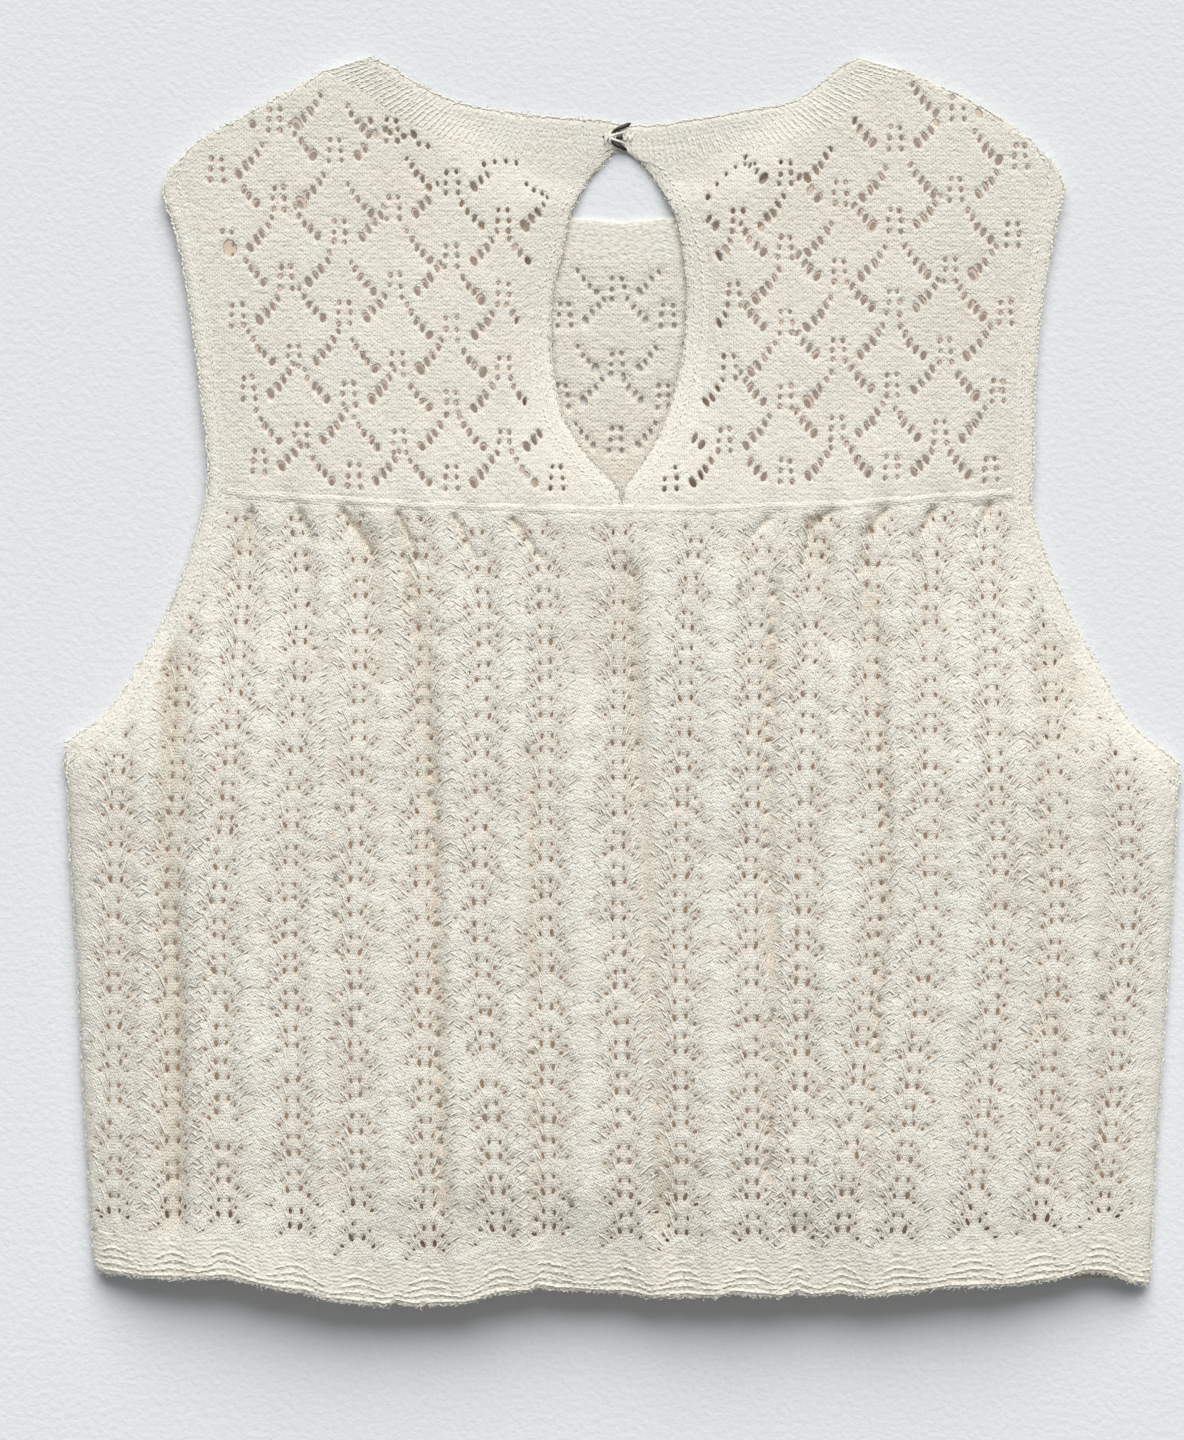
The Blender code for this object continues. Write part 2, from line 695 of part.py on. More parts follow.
def fold_grid(outline, levels):
    """Points down every fold and between the folds, and close ones where the sides turn down."""
    low = outline[:, 1].min()
    high = outline[:, 1].max()
    points = []
    for y in np.linspace(low, high, levels + 2)[1:-1]:
        lines = fold_lines(y)
        steps = np.arange((len(lines) - 1) * FOLD_SAMPLES + 1) / FOLD_SAMPLES
        across = np.interp(steps, np.arange(len(lines)), lines)
        left = x_on(LEFT_SIDE, y)
        right = x_on(RIGHT_SIDE, y)
        turning = [left + inwards for inwards in TURNING] + [right - inwards for inwards in TURNING]
        across = [x for x in across if left + FLAT_FROM < x < right - FLAT_FROM] + turning
        points += [(x, y) for x in across if inside(outline, x, y, 0.9)]
    return points


def back_body(finish):
    """The gathered lace body, with every fold that runs down it."""
    outline = body_outline(top_of_border(hem_edge()), -WELT / 2)
    return cloth("back_body", finish, outline, face=folded_face, within=fold_grid(outline, 11))


def back_hem(finish):
    lower = hem_edge()
    outline = closed_outline(lower, top_of_border(lower)[::-1])
    return cloth("back_hem", finish, outline, face=folded_face, wall=BAND_WALL)


def front_hem_edge():
    """The front hem, a little shorter than the back so that it stays hidden."""
    left = SIDE_SEAM[-1]
    points = [
        (left.left_x, left.left_y + FRONT_HEM_TUCK),
        (-100.0, FRONT_HEM_Y + FRONT_HEM_TUCK),
        (0.0, FRONT_HEM_Y + FRONT_HEM_TUCK),
        (100.0, FRONT_HEM_Y + FRONT_HEM_TUCK),
        (left.right_x, left.right_y + FRONT_HEM_TUCK),
    ]
    return with_ends_on_sides(smooth_curve(points, OUTLINE_STEP * 2))


def front_body(finish):
    outline = body_outline(top_of_border(front_hem_edge()), 0.0)
    grid = plain_grid(outline, PANEL_STEP * 2)
    return cloth("front_body", finish, outline, face=front_face, within=grid)


def front_hem(finish):
    lower = front_hem_edge()
    outline = closed_outline(lower, top_of_border(lower)[::-1])
    return cloth("front_hem", finish, outline, face=front_face)


def front_yoke(finish):
    """The front yoke in one piece, under the back one, with a lower neck."""
    halves = {}
    for side in SIDES:
        _, armhole = armhole_edges(side)
        _, neck = neckband_edges(FRONT_NECK, side, front_neckband_width)
        _, shoulder, _ = shoulder_parts(side)
        armhole = cut_at_seam(armhole, 0.0, "above")
        halves[side] = np.vstack([armhole[::-1], shoulder[1:], neck[1:]])
    seam = seam_line(halves["right"][0, 0], halves["left"][0, 0])
    outline = closed_outline(halves["left"], halves["right"][::-1][1:], seam[1:-1])
    grid = plain_grid(outline, PANEL_STEP * 2)
    return cloth("front_yoke", finish, outline, face=front_face, within=grid)


def front_neckband(finish):
    left_outer, left_inner = neckband_edges(FRONT_NECK, "left", front_neckband_width)
    right_outer, right_inner = neckband_edges(FRONT_NECK, "right", front_neckband_width)
    left_end = shoulder_parts("left")[2][1:-1]
    right_end = shoulder_parts("right")[2][1:-1][::-1]
    outline = closed_outline(left_outer, right_outer[::-1][1:], right_end,
                             right_inner, left_inner[::-1][1:], left_end)
    return cloth("front_neckband", finish, outline, face=front_face)


def closure_height(level):
    """Height of a wire's middle: 0 lies on the band, and each level clears the one below."""
    on_band = back_face(CLOSURE_X, CLOSURE_Y) + SEAM_GAP + WIRE_RADIUS
    return on_band + level * (2 * WIRE_RADIUS + SEAM_GAP)


def eye(finish):
    """An oval wire eye that stands across the closure, sewn to the right band."""
    angles = np.linspace(0.0, 2 * math.pi, 28, endpoint=False)
    height = closure_height(1)
    points = [
        (
            CLOSURE_X + EYE_WIDTH / 2 * math.cos(angle),
            CLOSURE_Y + EYE_HEIGHT / 2 * math.sin(angle),
            height,
        )
        for angle in angles
    ]
    return wire("eye", finish, points, closed=True)


def hook(finish):
    """A hook sewn to the left band: its shank passes under the eye and its bill returns over it."""
    low = closure_height(0)
    high = closure_height(2)
    turn_x = CLOSURE_X + EYE_WIDTH / 2 + BILL_PAST_EYE
    turn_radius = (high - low) / 2
    points = [(x, CLOSURE_Y, low) for x in np.linspace(CLOSURE_X - SHANK, turn_x, 9)]
    for angle in np.linspace(-math.pi / 2, math.pi / 2, 9)[1:-1]:
        points.append((
            turn_x + turn_radius * math.cos(angle),
            CLOSURE_Y,
            (low + high) / 2 + turn_radius * math.sin(angle),
        ))
    points += [(x, CLOSURE_Y, high) for x in np.linspace(turn_x, CLOSURE_X - 0.5, 5)]
    return wire("hook", finish, points)


def clear_scene():
    for old in list(bpy.data.objects):
        bpy.data.objects.remove(old)


def main():
    clear_scene()
    cream = material("cream_knit", YARN_CREAM, 0.9)
    shaded = material("cream_knit_underneath", YARN_SHADED, 0.92)
    metal = material("dark_metal", DARK_METAL, 0.4, 0.9)
    front_yoke(shaded)
    front_neckband(shaded)
    front_body(shaded)
    front_hem(shaded)
    for side in SIDES:
        armhole_edging(side, "front", shaded)
        armhole_edging(side, "back", cream)
        back_yoke(side, cream)
        back_neckband(side, cream)
        keyhole_band(side, cream)
    seam_welt(cream)
    back_body(cream)
    back_hem(cream)
    eye(metal)
    hook(metal)


main()
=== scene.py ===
"""Sleeveless lace knit crop top laid flat, back uppermost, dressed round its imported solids.

The frame is that of the solids: metres, +Z up, the surface it lies on at z = 0, +Y from the hem
to the neck and +X to the right of someone who looks down at the back. Sizes in this file are in
millimetres and angles in degrees until a mesh is made.

Pattern draws the edges that the pieces are cut and knitted to. Drape gives the height of the cloth
as it lies. Lace charts place the eyelets, Knitter turns outlines into closed walls of knitting, and
YarnTree lays separate lengths of yarn along them with Geometry Nodes.
"""

from __future__ import annotations

import json
import logging
import math
from dataclasses import dataclass, field
from enum import Enum
from typing import Callable, NamedTuple, Sequence

import bpy
import numpy as np
from mathutils import Matrix, Vector, geometry, kdtree

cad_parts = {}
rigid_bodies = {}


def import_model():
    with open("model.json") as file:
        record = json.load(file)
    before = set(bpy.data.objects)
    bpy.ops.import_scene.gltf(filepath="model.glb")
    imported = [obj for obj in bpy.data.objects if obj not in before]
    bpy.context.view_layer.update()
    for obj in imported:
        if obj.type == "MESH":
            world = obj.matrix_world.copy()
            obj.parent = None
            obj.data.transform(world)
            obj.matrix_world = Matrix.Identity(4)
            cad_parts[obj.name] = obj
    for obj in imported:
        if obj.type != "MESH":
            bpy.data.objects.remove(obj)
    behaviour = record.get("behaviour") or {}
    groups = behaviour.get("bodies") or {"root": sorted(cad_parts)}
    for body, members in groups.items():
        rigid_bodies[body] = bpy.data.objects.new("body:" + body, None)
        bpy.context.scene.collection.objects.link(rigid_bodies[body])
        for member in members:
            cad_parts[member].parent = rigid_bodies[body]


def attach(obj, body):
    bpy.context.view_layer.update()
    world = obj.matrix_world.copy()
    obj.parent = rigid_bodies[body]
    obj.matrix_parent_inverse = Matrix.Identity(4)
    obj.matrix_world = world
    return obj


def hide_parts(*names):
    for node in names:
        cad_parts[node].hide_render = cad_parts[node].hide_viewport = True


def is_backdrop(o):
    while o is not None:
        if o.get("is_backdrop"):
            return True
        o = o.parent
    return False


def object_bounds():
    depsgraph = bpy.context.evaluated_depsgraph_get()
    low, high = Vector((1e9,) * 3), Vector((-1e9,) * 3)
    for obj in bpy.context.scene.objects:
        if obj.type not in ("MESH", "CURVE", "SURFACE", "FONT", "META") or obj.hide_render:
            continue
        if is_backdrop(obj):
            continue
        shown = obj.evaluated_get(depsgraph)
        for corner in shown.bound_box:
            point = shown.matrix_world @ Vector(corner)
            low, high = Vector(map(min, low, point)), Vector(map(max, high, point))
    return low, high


MM = 0.001
SQUARE_MM = 1e-6
TAU = math.tau
BODY = "root"
LOG = logging.getLogger("crop_top")

SEWN_DROP = 0.14      # a band's edge lies this far below its face where it is sewn on
PANEL_DROP = 0.07     # the same for the edge of a panel
TUCKED = -0.45        # a panel reaches this far under the pieces sewn to it
FAR = 900.0           # a place well outside the garment, to tell outwards from inwards
RIDGE_PITCH = 1.95    # from one garter ridge of the hem to the next, midway between two folds
RIDGE_SWELL = 0.95    # and how much more on a fold

Array = np.ndarray
Field = Callable[[Array, Array], Array]
Chart = Callable[[Array, Array], tuple[Array, Array]]
Profile = Callable[[Array, Array, Array], Array]
Colour = tuple[float, float, float]


class Side(Enum):
    """The left or the right half of the garment, as the viewer sees it."""

    LEFT = "left"
    RIGHT = "right"


class Stitch(Enum):
    """How the fine surface of a piece is knitted."""

    STOCKING = "stocking stitch"
    GARTER = "garter stitch"
    RIB = "one by one rib"


# Tables of the garment's edges and rises

class EdgePoint(NamedTuple):
    """A point on the same edge of the left and right side."""

    left_x: float
    left_y: float
    right_x: float
    right_y: float


SHOULDER = (
    EdgePoint(-173, 197, 165.5, 198.5),
    EdgePoint(-161, 208, 156.5, 207.5),
    EdgePoint(-146, 216, 145, 215.5),
    EdgePoint(-132.5, 223.5, 132, 223.3),
    EdgePoint(-118.5, 231, 114, 231.3),
    EdgePoint(-108.5, 238, 102, 237.3),
    EdgePoint(-103.5, 239.5, 95.5, 239.5),
    EdgePoint(-97, 239, 90.5, 238.8),
)

ARMHOLE = (
    EdgePoint(-173, 197, 165.5, 198.5),
    EdgePoint(-176, 187, 169.5, 189.5),
    EdgePoint(-171.3, 172, 166.2, 173.5),
    EdgePoint(-166.5, 148, 161.3, 146),
    EdgePoint(-162.2, 115, 158.5, 115),
    EdgePoint(-159, 84, 157.9, 84),
    EdgePoint(-160, 67, 157.2, 67),
    EdgePoint(-166, 47, 162.9, 47),
    EdgePoint(-173.5, 28, 171.5, 26),
    EdgePoint(-185, 6, 183.3, 4),
    EdgePoint(-198.5, -13, 195.8, -17),
    EdgePoint(-213.5, -24, 213.5, -32),
)

SIDE_SEAM = (
    EdgePoint(-213.5, -24, 213.5, -32),
    EdgePoint(-212.4, -60, 212.6, -62),
    EdgePoint(-209.5, -105, 210.2, -105),
    EdgePoint(-207, -155, 207, -155),
    EdgePoint(-204.5, -200, 204.2, -200),
    EdgePoint(-202.5, -226.5, 202.8, -233),
)

BACK_NECK = (
    EdgePoint(-97, 239, 90.5, 238.8),
    EdgePoint(-88, 235, 84, 235.3),
    EdgePoint(-76.5, 227.8, 76, 228.8),
    EdgePoint(-62, 221.6, 65, 222),
    EdgePoint(-40, 217.6, 45, 218.2),
    EdgePoint(-20, 215.8, 22, 214.4),
    EdgePoint(-10, 215.2, 10, 213),
    EdgePoint(0, 213.4, 0, 213.4),
)

FRONT_NECK = (
    EdgePoint(-97, 239, 90.5, 238.8),
    EdgePoint(-84, 221, 80, 221),
    EdgePoint(-64, 199, 61, 199),
    EdgePoint(-36, 181.5, 35, 181.5),
    EdgePoint(0, 176, 0, 176),
)

KEYHOLE = (
    EdgePoint(-2.6, 203.9, 2.8, 203.2),
    EdgePoint(-5.9, 200.6, 6.2, 200.6),
    EdgePoint(-12.4, 193, 12.4, 193),
    EdgePoint(-17.8, 184.5, 17.9, 184.5),
    EdgePoint(-20.6, 175, 21.6, 175),
    EdgePoint(-22.8, 164, 23.5, 164),
    EdgePoint(-26.2, 150, 24.8, 150),
    EdgePoint(-27, 132, 24, 132),
    EdgePoint(-25.5, 115, 21, 115),
    EdgePoint(-21.5, 100, 16.5, 100),
    EdgePoint(-13.5, 87, 10, 87),
    EdgePoint(-5.5, 78.5, 4, 78.5),
    EdgePoint(0, 73, 0, 73),
)


class Section(NamedTuple):
    """The rise of the back across one level of the garment."""

    y: float
    crown: float
    edge: float
    flatness: float
    turn: float


SECTIONS = (
    Section(242, 5.2, 5, 2.5, 1.00),
    Section(213, 5.7, 5, 2.5, 1.00),
    Section(180, 7.2, 5, 2.5, 1.00),
    Section(140, 9.8, 5, 2.5, 1.00),
    Section(100, 12.8, 5, 2.5, 1.00),
    Section(66, 16.5, 5, 2.6, 0.95),
    Section(30, 19.4, 5, 2.9, 0.80),
    Section(0, 21.3, 5, 3.2, 0.65),
    Section(-33, 22.9, 4, 3.5, 0.50),
    Section(-110, 25.4, 3.6, 3.5, 0.50),
    Section(-180, 26.4, 3.6, 3.5, 0.50),
    Section(-242, 24, 3.6, 3.5, 0.50),
)


class Fold(NamedTuple):
    """A valley down the back body, which is also a column of its lace, and its place at the hem."""

    top_x: float
    middle_x: float
    hem_x: float
    top_depth: float
    middle_depth: float
    hem_depth: float
    hem_y: float


FOLD_LEVELS = (58, -85, -212)

FOLDS = (
    Fold(-190, -195, -195, 0.5, 1.6, 2, -228),
    Fold(-166, -173, -172, 1, 4.2, 3.6, -229.5),
    Fold(-143, -154.5, -152, 2, 1.5, 2.4, -229),
    Fold(-121.5, -127.5, -125, 2.4, 2.4, 2.6, -234.5),
    Fold(-99, -102.5, -101, 2.6, 1.6, 2.6, -238.6),
    Fold(-75, -76.5, -74, 2.6, 3.4, 3.6, -239.25),
    Fold(-52, -55, -47, 2.4, 2.4, 2.6, -235),
    Fold(-29, -29.5, -28, 1.8, 2.8, 3, -233.5),
    Fold(-1, -1.5, 1.5, 0.8, 2.6, 3.6, -234.5),
    Fold(26, 22, 22.5, 0.8, 2.8, 3.8, -236),
    Fold(52, 49, 50, 2, 2.4, 2.6, -235.5),
    Fold(73, 69, 67.5, 2.8, 3, 3, -236),
    Fold(94.5, 97.5, 84, 2.6, 2.6, 2.8, -234.5),
    Fold(117.5, 118, 105, 2.4, 1.8, 2.6, -235),
    Fold(139, 145, 134, 2, 2.2, 2.6, -232.5),
    Fold(163, 166.5, 160, 1, 4, 3.4, -230.5),
    Fold(186, 195, 184, 0.5, 1.8, 2.2, -227.5),
)


class Crease(NamedTuple):
    """A soft trough between two places, as the cloth was laid by hand."""

    from_x: float
    from_y: float
    to_x: float
    to_y: float
    width: float
    depth: float


CREASES = (
    # gathers that start under the yoke seam
    Crease(-142, 64, -151, 37, 1.3, 2),
    Crease(-124, 64.5, -119, 53, 1.3, 2),
    Crease(-107, 64.5, -96, 49, 1.3, 2.6),
    Crease(-86, 63.5, -77, 44, 1.3, 2.6),
    Crease(-64.5, 62.5, -56, 46, 1.3, 2.4),
    Crease(-42, 61.5, -30.5, 46, 1.3, 2.6),
    Crease(56, 61.5, 49, 54, 1.3, 2),
    Crease(80.5, 65, 72, 59, 1.3, 2.2),
    Crease(72.5, 60, 70, 46, 1.3, 2.2),
    Crease(101, 65.5, 94.5, 56, 1.3, 2.4),
    Crease(95, 57, 94, 42, 1.3, 2),
    Crease(119.5, 65.5, 114, 54, 1.3, 2.2),
    Crease(141, 66.5, 134, 53, 1.3, 2),
    Crease(135, 66, 149, 69.5, 1.6, 1),
    # hollows above the hem border, and slacker places in the body
    Crease(-58, -208, -60, -217, 6.5, 1.2),
    Crease(14, -196, 13, -218, 6, 1.4),
    Crease(30, -192, 41, -194, 4, 0.9),
    Crease(-87, -212, -84, -218, 6, 1.1),
    Crease(66, -210, 70, -218, 6, 1.2),
    Crease(150, -210, 154, -218, 6.5, 1.1),
    Crease(-176, 30, -166, -60, 5, 1.6),
    Crease(171, 10, 175, -70, 6, 1.4),
)


# Where the lower edge of the back dips towards the surface: x, and how far it drops.
HEM_DIPS = (
    (-207, 0), (-190, -0.6), (-170, -2), (-148, -2), (-122, -1.2), (-93, 1.6),
    (-66, 1.6), (-39, 2), (-7, 4.5), (20, 2.4), (47.5, 0.8), (74.5, 2.6),
    (107, 0.5), (139.5, -0.5), (172, 0.8), (194, 1), (207, 0),
)

# Small notches and waves of the lower edge: x, rise and half width.
HEM_WAVES = (
    (-122, 0.8, 6), (-86, 1.5, 3), (-60, -0.9, 8), (-32, 1.3, 3),
    (8, -0.8, 9), (42, 1.1, 4), (66, 1.4, 3.5), (92, -0.8, 9),
    (122, 1.2, 8), (176, 1, 5), (194, -0.9, 4),
)


class LongFold(NamedTuple):
    """A long soft trough down the body, or a ridge where the depth is negative; its tone is painted
    shade in a trough and a painted highlight on a ridge.
    """

    route: tuple[tuple[float, float], ...]
    width: float
    depth: float
    # painted shade, or a painted highlight where negative
    tone: float


LONG_FOLDS = (
    LongFold(((-188, -20), (-188, -100), (-186, -200)), 2.4, 1, 0.30),
    LongFold(((-180, -50), (-178, -190)), 1.8, 0.7, 0.25),
    LongFold(((-173, 12), (-175, -60), (-171, -120), (-171, -212)), 3.8, 2.4, 0.75),
    LongFold(((-162, 35), (-160, -60), (-161, -200)), 4, -1, -0.25),
    LongFold(((-144, 30), (-144, -160)), 7, -0.8, -0.15),
    LongFold(((-121, 52), (-117, 0)), 2.6, 1.1, 0.35),
    LongFold(((-112, 15), (-110, -60), (-110, -205)), 2.4, 1.4, 0.40),
    LongFold(((-98, 60), (-93, 30), (-90, -5)), 5, 1.6, 0.45),
    LongFold(((-100, -20), (-100, -150)), 5, -0.7, -0.15),
    LongFold(((-86, 58), (-78, 20), (-73, -40), (-71, -110), (-69, -205)),
             3, 2.3, 0.65),
    LongFold(((-61, 35), (-60, -70)), 4, -0.8, -0.20),
    LongFold(((-44, 40), (-45, -40)), 3.4, -0.8, -0.20),
    LongFold(((-36, -25), (-34.8, -100), (-34, -212)), 2.8, 1.7, 0.50),
    LongFold(((-20, 58), (-14, 30), (-6, -2)), 10, 0.9, 0.42),
    LongFold(((-17, -12), (-16, -100), (-14, -205)), 9, -1, -0.20),
    LongFold(((2, 45), (5, 0), (9, -63), (12, -130), (15, -212)),
             4, 2.6, 0.70),
    LongFold(((40, 45), (40, -60)), 9, -0.9, -0.20),
    LongFold(((59, 40), (56.5, 0), (56, -60), (57.5, -120), (56, -195)),
             3.3, 2.5, 0.65),
    LongFold(((73, 62), (78, 40), (82, 15)), 6.5, 1.2, 0.45),
    LongFold(((78, 10), (76, -120)), 7, -0.8, -0.20),
    LongFold(((90, 58), (97, 10), (100.5, -60), (97, -130), (93, -208)),
             2.6, 1.8, 0.45),
    LongFold(((111, 60), (117, 15)), 2.4, 1.1, 0.35),
    LongFold(((130, 20), (131, -130)), 7, -0.7, -0.12),
    LongFold(((150, -80), (146, -160)), 3, 0.8, 0.25),
    LongFold(((160, 25), (161.5, -60), (157, -140)), 3, 1.8, 0.45),
    LongFold(((165, -120), (168, -205)), 2.6, 1.2, 0.35),
    LongFold(((182, -35), (184.5, -110), (181, -205)), 2.8, 1.7, 0.50),
    LongFold(((176, -10), (176, -150)), 3.4, -0.7, -0.12),
)

NECK_EYELETS = (
    # a short row of eyelets under the neckband on each side: x, y, width and length
    (-96.6, 214.6, 1.5, 2.6),
    (-95, 210.3, 1.3, 2),
    (-89.2, 210.1, 1.8, 1.9),
    (-83.9, 208.8, 2, 2.2),
    (-78.2, 205.8, 1.6, 1.9),
    (-74.6, 204.9, 1.5, 1.8),
    (-53, 198.2, 1.6, 2.2),
    (-48.9, 199.2, 1.2, 1.9),
    (-44.6, 199.4, 1.3, 1.8),
    (-40.6, 198.8, 1.1, 2.2),
    (-36.6, 190.6, 1.2, 1.8),
    (-33.8, 188.3, 1.5, 1.9),
    (-30.6, 187, 1.3, 1.7),
    (51, 198.4, 1.7, 2),
    (47.2, 198.2, 1.7, 2.2),
    (43.5, 197.2, 1.8, 2.1),
    (39.9, 194.4, 1.7, 2.3),
    (36.4, 190.6, 1.6, 2.6),
    (32.9, 185.6, 2.9, 3.9),
)


class LaceColumn(NamedTuple):
    """A column of eyelet groups in the diamond lace, which leans a little as it goes down."""

    top_x: float
    foot_x: float
    first_y: float
    pitch: float
    groups: int
    outer: int = 0        # -1 or 1 where no diamond edge runs on that side


YOKE_LACE = (
    LaceColumn(-156.5, -139, 196, 28.1, 5, -1),
    LaceColumn(-133.5, -122, 215, 30.3, 5),
    LaceColumn(-110.3, -103, 203.3, 31.3, 5),
    LaceColumn(-88.5, -85, 211, 30, 5),
    LaceColumn(-65.5, -65.5, 191, 28.4, 5),
    LaceColumn(-46, -45, 176.2, 28.4, 4),
    LaceColumn(-29, -25, 162.8, 28.5, 4),
    LaceColumn(29.5, 18.5, 162, 28.2, 4),
    LaceColumn(46, 38.5, 176, 28.1, 4),
    LaceColumn(62.8, 62.8, 194.5, 28.7, 5),
    LaceColumn(84, 82.3, 186.8, 30.2, 4),
    LaceColumn(105, 103.3, 208, 31.7, 5),
    LaceColumn(129, 121, 219.5, 31.2, 5),
    LaceColumn(153, 141.5, 201, 30.1, 5, 1),
)


# Curves in plan

def spans(steps: Array) -> Array:
    """The length of each of some steps."""
    return np.linalg.norm(steps, axis=1)


def unit(steps: Array) -> Array:
    """Steps in the same directions, each with a length of one."""
    return steps / spans(steps)[:, None]


def distances(curve: Array) -> Array:
    """Distance along a curve to each of its points."""
    return np.concatenate([[0.0], np.cumsum(spans(np.diff(curve, axis=0)))])


def at_places(curve: Array, places: Array) -> Array:
    """Points of a curve at given distances along it."""
    along = distances(curve)
    return np.column_stack([np.interp(places, along, curve[:, axis]) for axis in (0, 1)])


def divided(curve: Array, count: int) -> Array:
    """A curve as a number of points the same distance apart."""
    return at_places(curve, np.linspace(0.0, distances(curve)[-1], count))


def evened(edges: tuple[Array, Array], spacing: float) -> tuple[Array, Array]:
    """Two edges as equally many points, which are about a spacing apart on the first edge."""
    count = int(distances(edges[0])[-1] / spacing)
    return divided(edges[0], count), divided(edges[1], count)


def extended(rows: Array) -> Array:
    """Rows of places with one more at each end, as far on as the last two are apart."""
    return np.vstack([2 * rows[:1] - rows[1:2], rows, 2 * rows[-1:] - rows[-2:-1]])


def heading(steps: Array) -> Array:
    """The direction of each of some steps in plan, in radians."""
    return np.arctan2(steps[:, 1], steps[:, 0])


def varied(rng: np.random.Generator, count: int, spread: float, size: Sequence[float]) -> Array:
    """A number of sizes, each a random share more or less than a given one, up to the spread."""
    return rng.uniform(1 - spread, 1 + spread, (count, 3)) * size


def on_side(x: float, side: Side) -> bool:
    """Whether a place lies on one side of the centre."""
    return (x > 0) is (side is Side.RIGHT)


def smooth_curve(points: Sequence[tuple[float, float]], step: float) -> Array:
    """An even run of points, at most a step apart, on a rounded curve through the given ones."""
    given = np.asarray(points, float)
    ends = extended(given)
    pieces = []
    for before, start, end, after in zip(ends, ends[1:], ends[2:], ends[3:]):
        t = np.linspace(0.0, 1.0, 16, endpoint=False)[:, None]
        pieces.append(0.5 * (
            2 * start + (end - before) * t
            + (2 * before - 5 * start + 4 * end - after) * t ** 2
            + (3 * start - before - 3 * end + after) * t ** 3
        ))
    dense = np.vstack(pieces + [given[-1:]])
    return divided(dense, max(2, math.ceil(distances(dense)[-1] / step) + 1))


def part_between(curve: Array, start: float, end: float) -> Array:
    """The part of a curve between two distances along it."""
    along = distances(curve)
    inner = along[(along > start + 0.2) & (along < end - 0.2)]
    return at_places(curve, np.concatenate([[start], inner, [end]]))


def inset(curve: Array, width: Array | float, towards: tuple[float, float]) -> Array:
    """A second edge beside a curve and square to it, on the side of a point."""
    along = unit(np.gradient(curve, axis=0))
    across = np.column_stack([-along[:, 1], along[:, 0]])
    middle = len(curve) // 2
    if np.dot(across[middle], np.asarray(towards) - curve[middle]) < 0:
        across = -across
    return curve + across * np.broadcast_to(width, len(curve))[:, None]


def cut_at(curve: Array, level: Array | float, keep_above: bool) -> Array:
    """The part of a downward curve above or below a level, given at each of its points."""
    height = curve[:, 1] - level
    above = np.nonzero(height > 0)[0]
    if len(above) == 0 or above[-1] == len(curve) - 1:
        return curve
    last = int(above[-1])
    share = height[last] / (height[last] - height[last + 1])
    crossing = curve[last] + share * (curve[last + 1] - curve[last])
    if keep_above:
        return np.vstack([curve[:last + 1], crossing])
    return np.vstack([crossing, curve[last + 1:]])


def loop_of(*curves: Array) -> Array:
    """Curves joined end to end into one loop that runs anticlockwise, with no repeated corners."""
    points = np.vstack(curves)
    points = points[spans(points - np.roll(points, 1, axis=0)) > 0.15]
    ahead = np.roll(points, -1, axis=0)
    area = np.sum(points[:, 0] * ahead[:, 1] - points[:, 1] * ahead[:, 0])
    return points if area > 0 else points[::-1]


def loop_area(loop: Array) -> float:
    """Area inside a loop, in square millimetres."""
    ahead = np.roll(loop, -1, axis=0)
    return float(abs(np.sum(loop[:, 0] * ahead[:, 1] - loop[:, 1] * ahead[:, 0])) / 2)


def drawn_in(loop: Array, amount: float) -> Array:
    """An anticlockwise loop moved inwards by an amount."""
    before = unit(loop - np.roll(loop, 1, axis=0))
    after = unit(np.roll(loop, -1, axis=0) - loop)
    square = np.column_stack([-before[:, 1] - after[:, 1], before[:, 0] + after[:, 0]])
    square /= np.maximum((square ** 2).sum(axis=1) / 2, 0.5)[:, None]
    return loop + square * amount


def depth_inside(loop: Array, points: Array) -> Array:
    """Distance of each point from a loop, negative outside it."""
    ahead = np.roll(loop, -1, axis=0)
    run = ahead - loop
    result = np.empty(len(points))
    for start in range(0, len(points), 4000):
        block = points[start:start + 4000]
        crosses = (loop[:, 1] > block[:, 1:]) != (ahead[:, 1] > block[:, 1:])
        rise = np.where(abs(run[:, 1]) > 1e-12, run[:, 1], 1.0)
        where = loop[:, 0] + (block[:, 1:] - loop[:, 1]) * run[:, 0] / rise
        odd = np.count_nonzero(crosses & (block[:, :1] < where), axis=1) % 2 == 1
        offset = block[:, None, :] - loop
        share = np.clip((offset * run).sum(axis=2) / (run ** 2).sum(axis=1), 0.0, 1.0)
        away = np.linalg.norm(offset - run * share[:, :, None], axis=2).min(axis=1)
        result[start:start + 4000] = np.where(odd, away, -away)
    return result


def smooth_step(share: Array) -> Array:
    """A step from 0 to 1 with soft ends."""
    share = np.clip(share, 0.0, 1.0)
    return share * share * (3 - 2 * share)


def crossing_y(line: Array, x: Array) -> Array:
    """Level of a line that runs across the garment."""
    return np.interp(x, line[:, 0], line[:, 1])


def crossing_x(line: Array, y: Array | float) -> Array:
    """Where a line that runs down the garment crosses a level."""
    return np.interp(y, line[::-1, 1], line[::-1, 0])


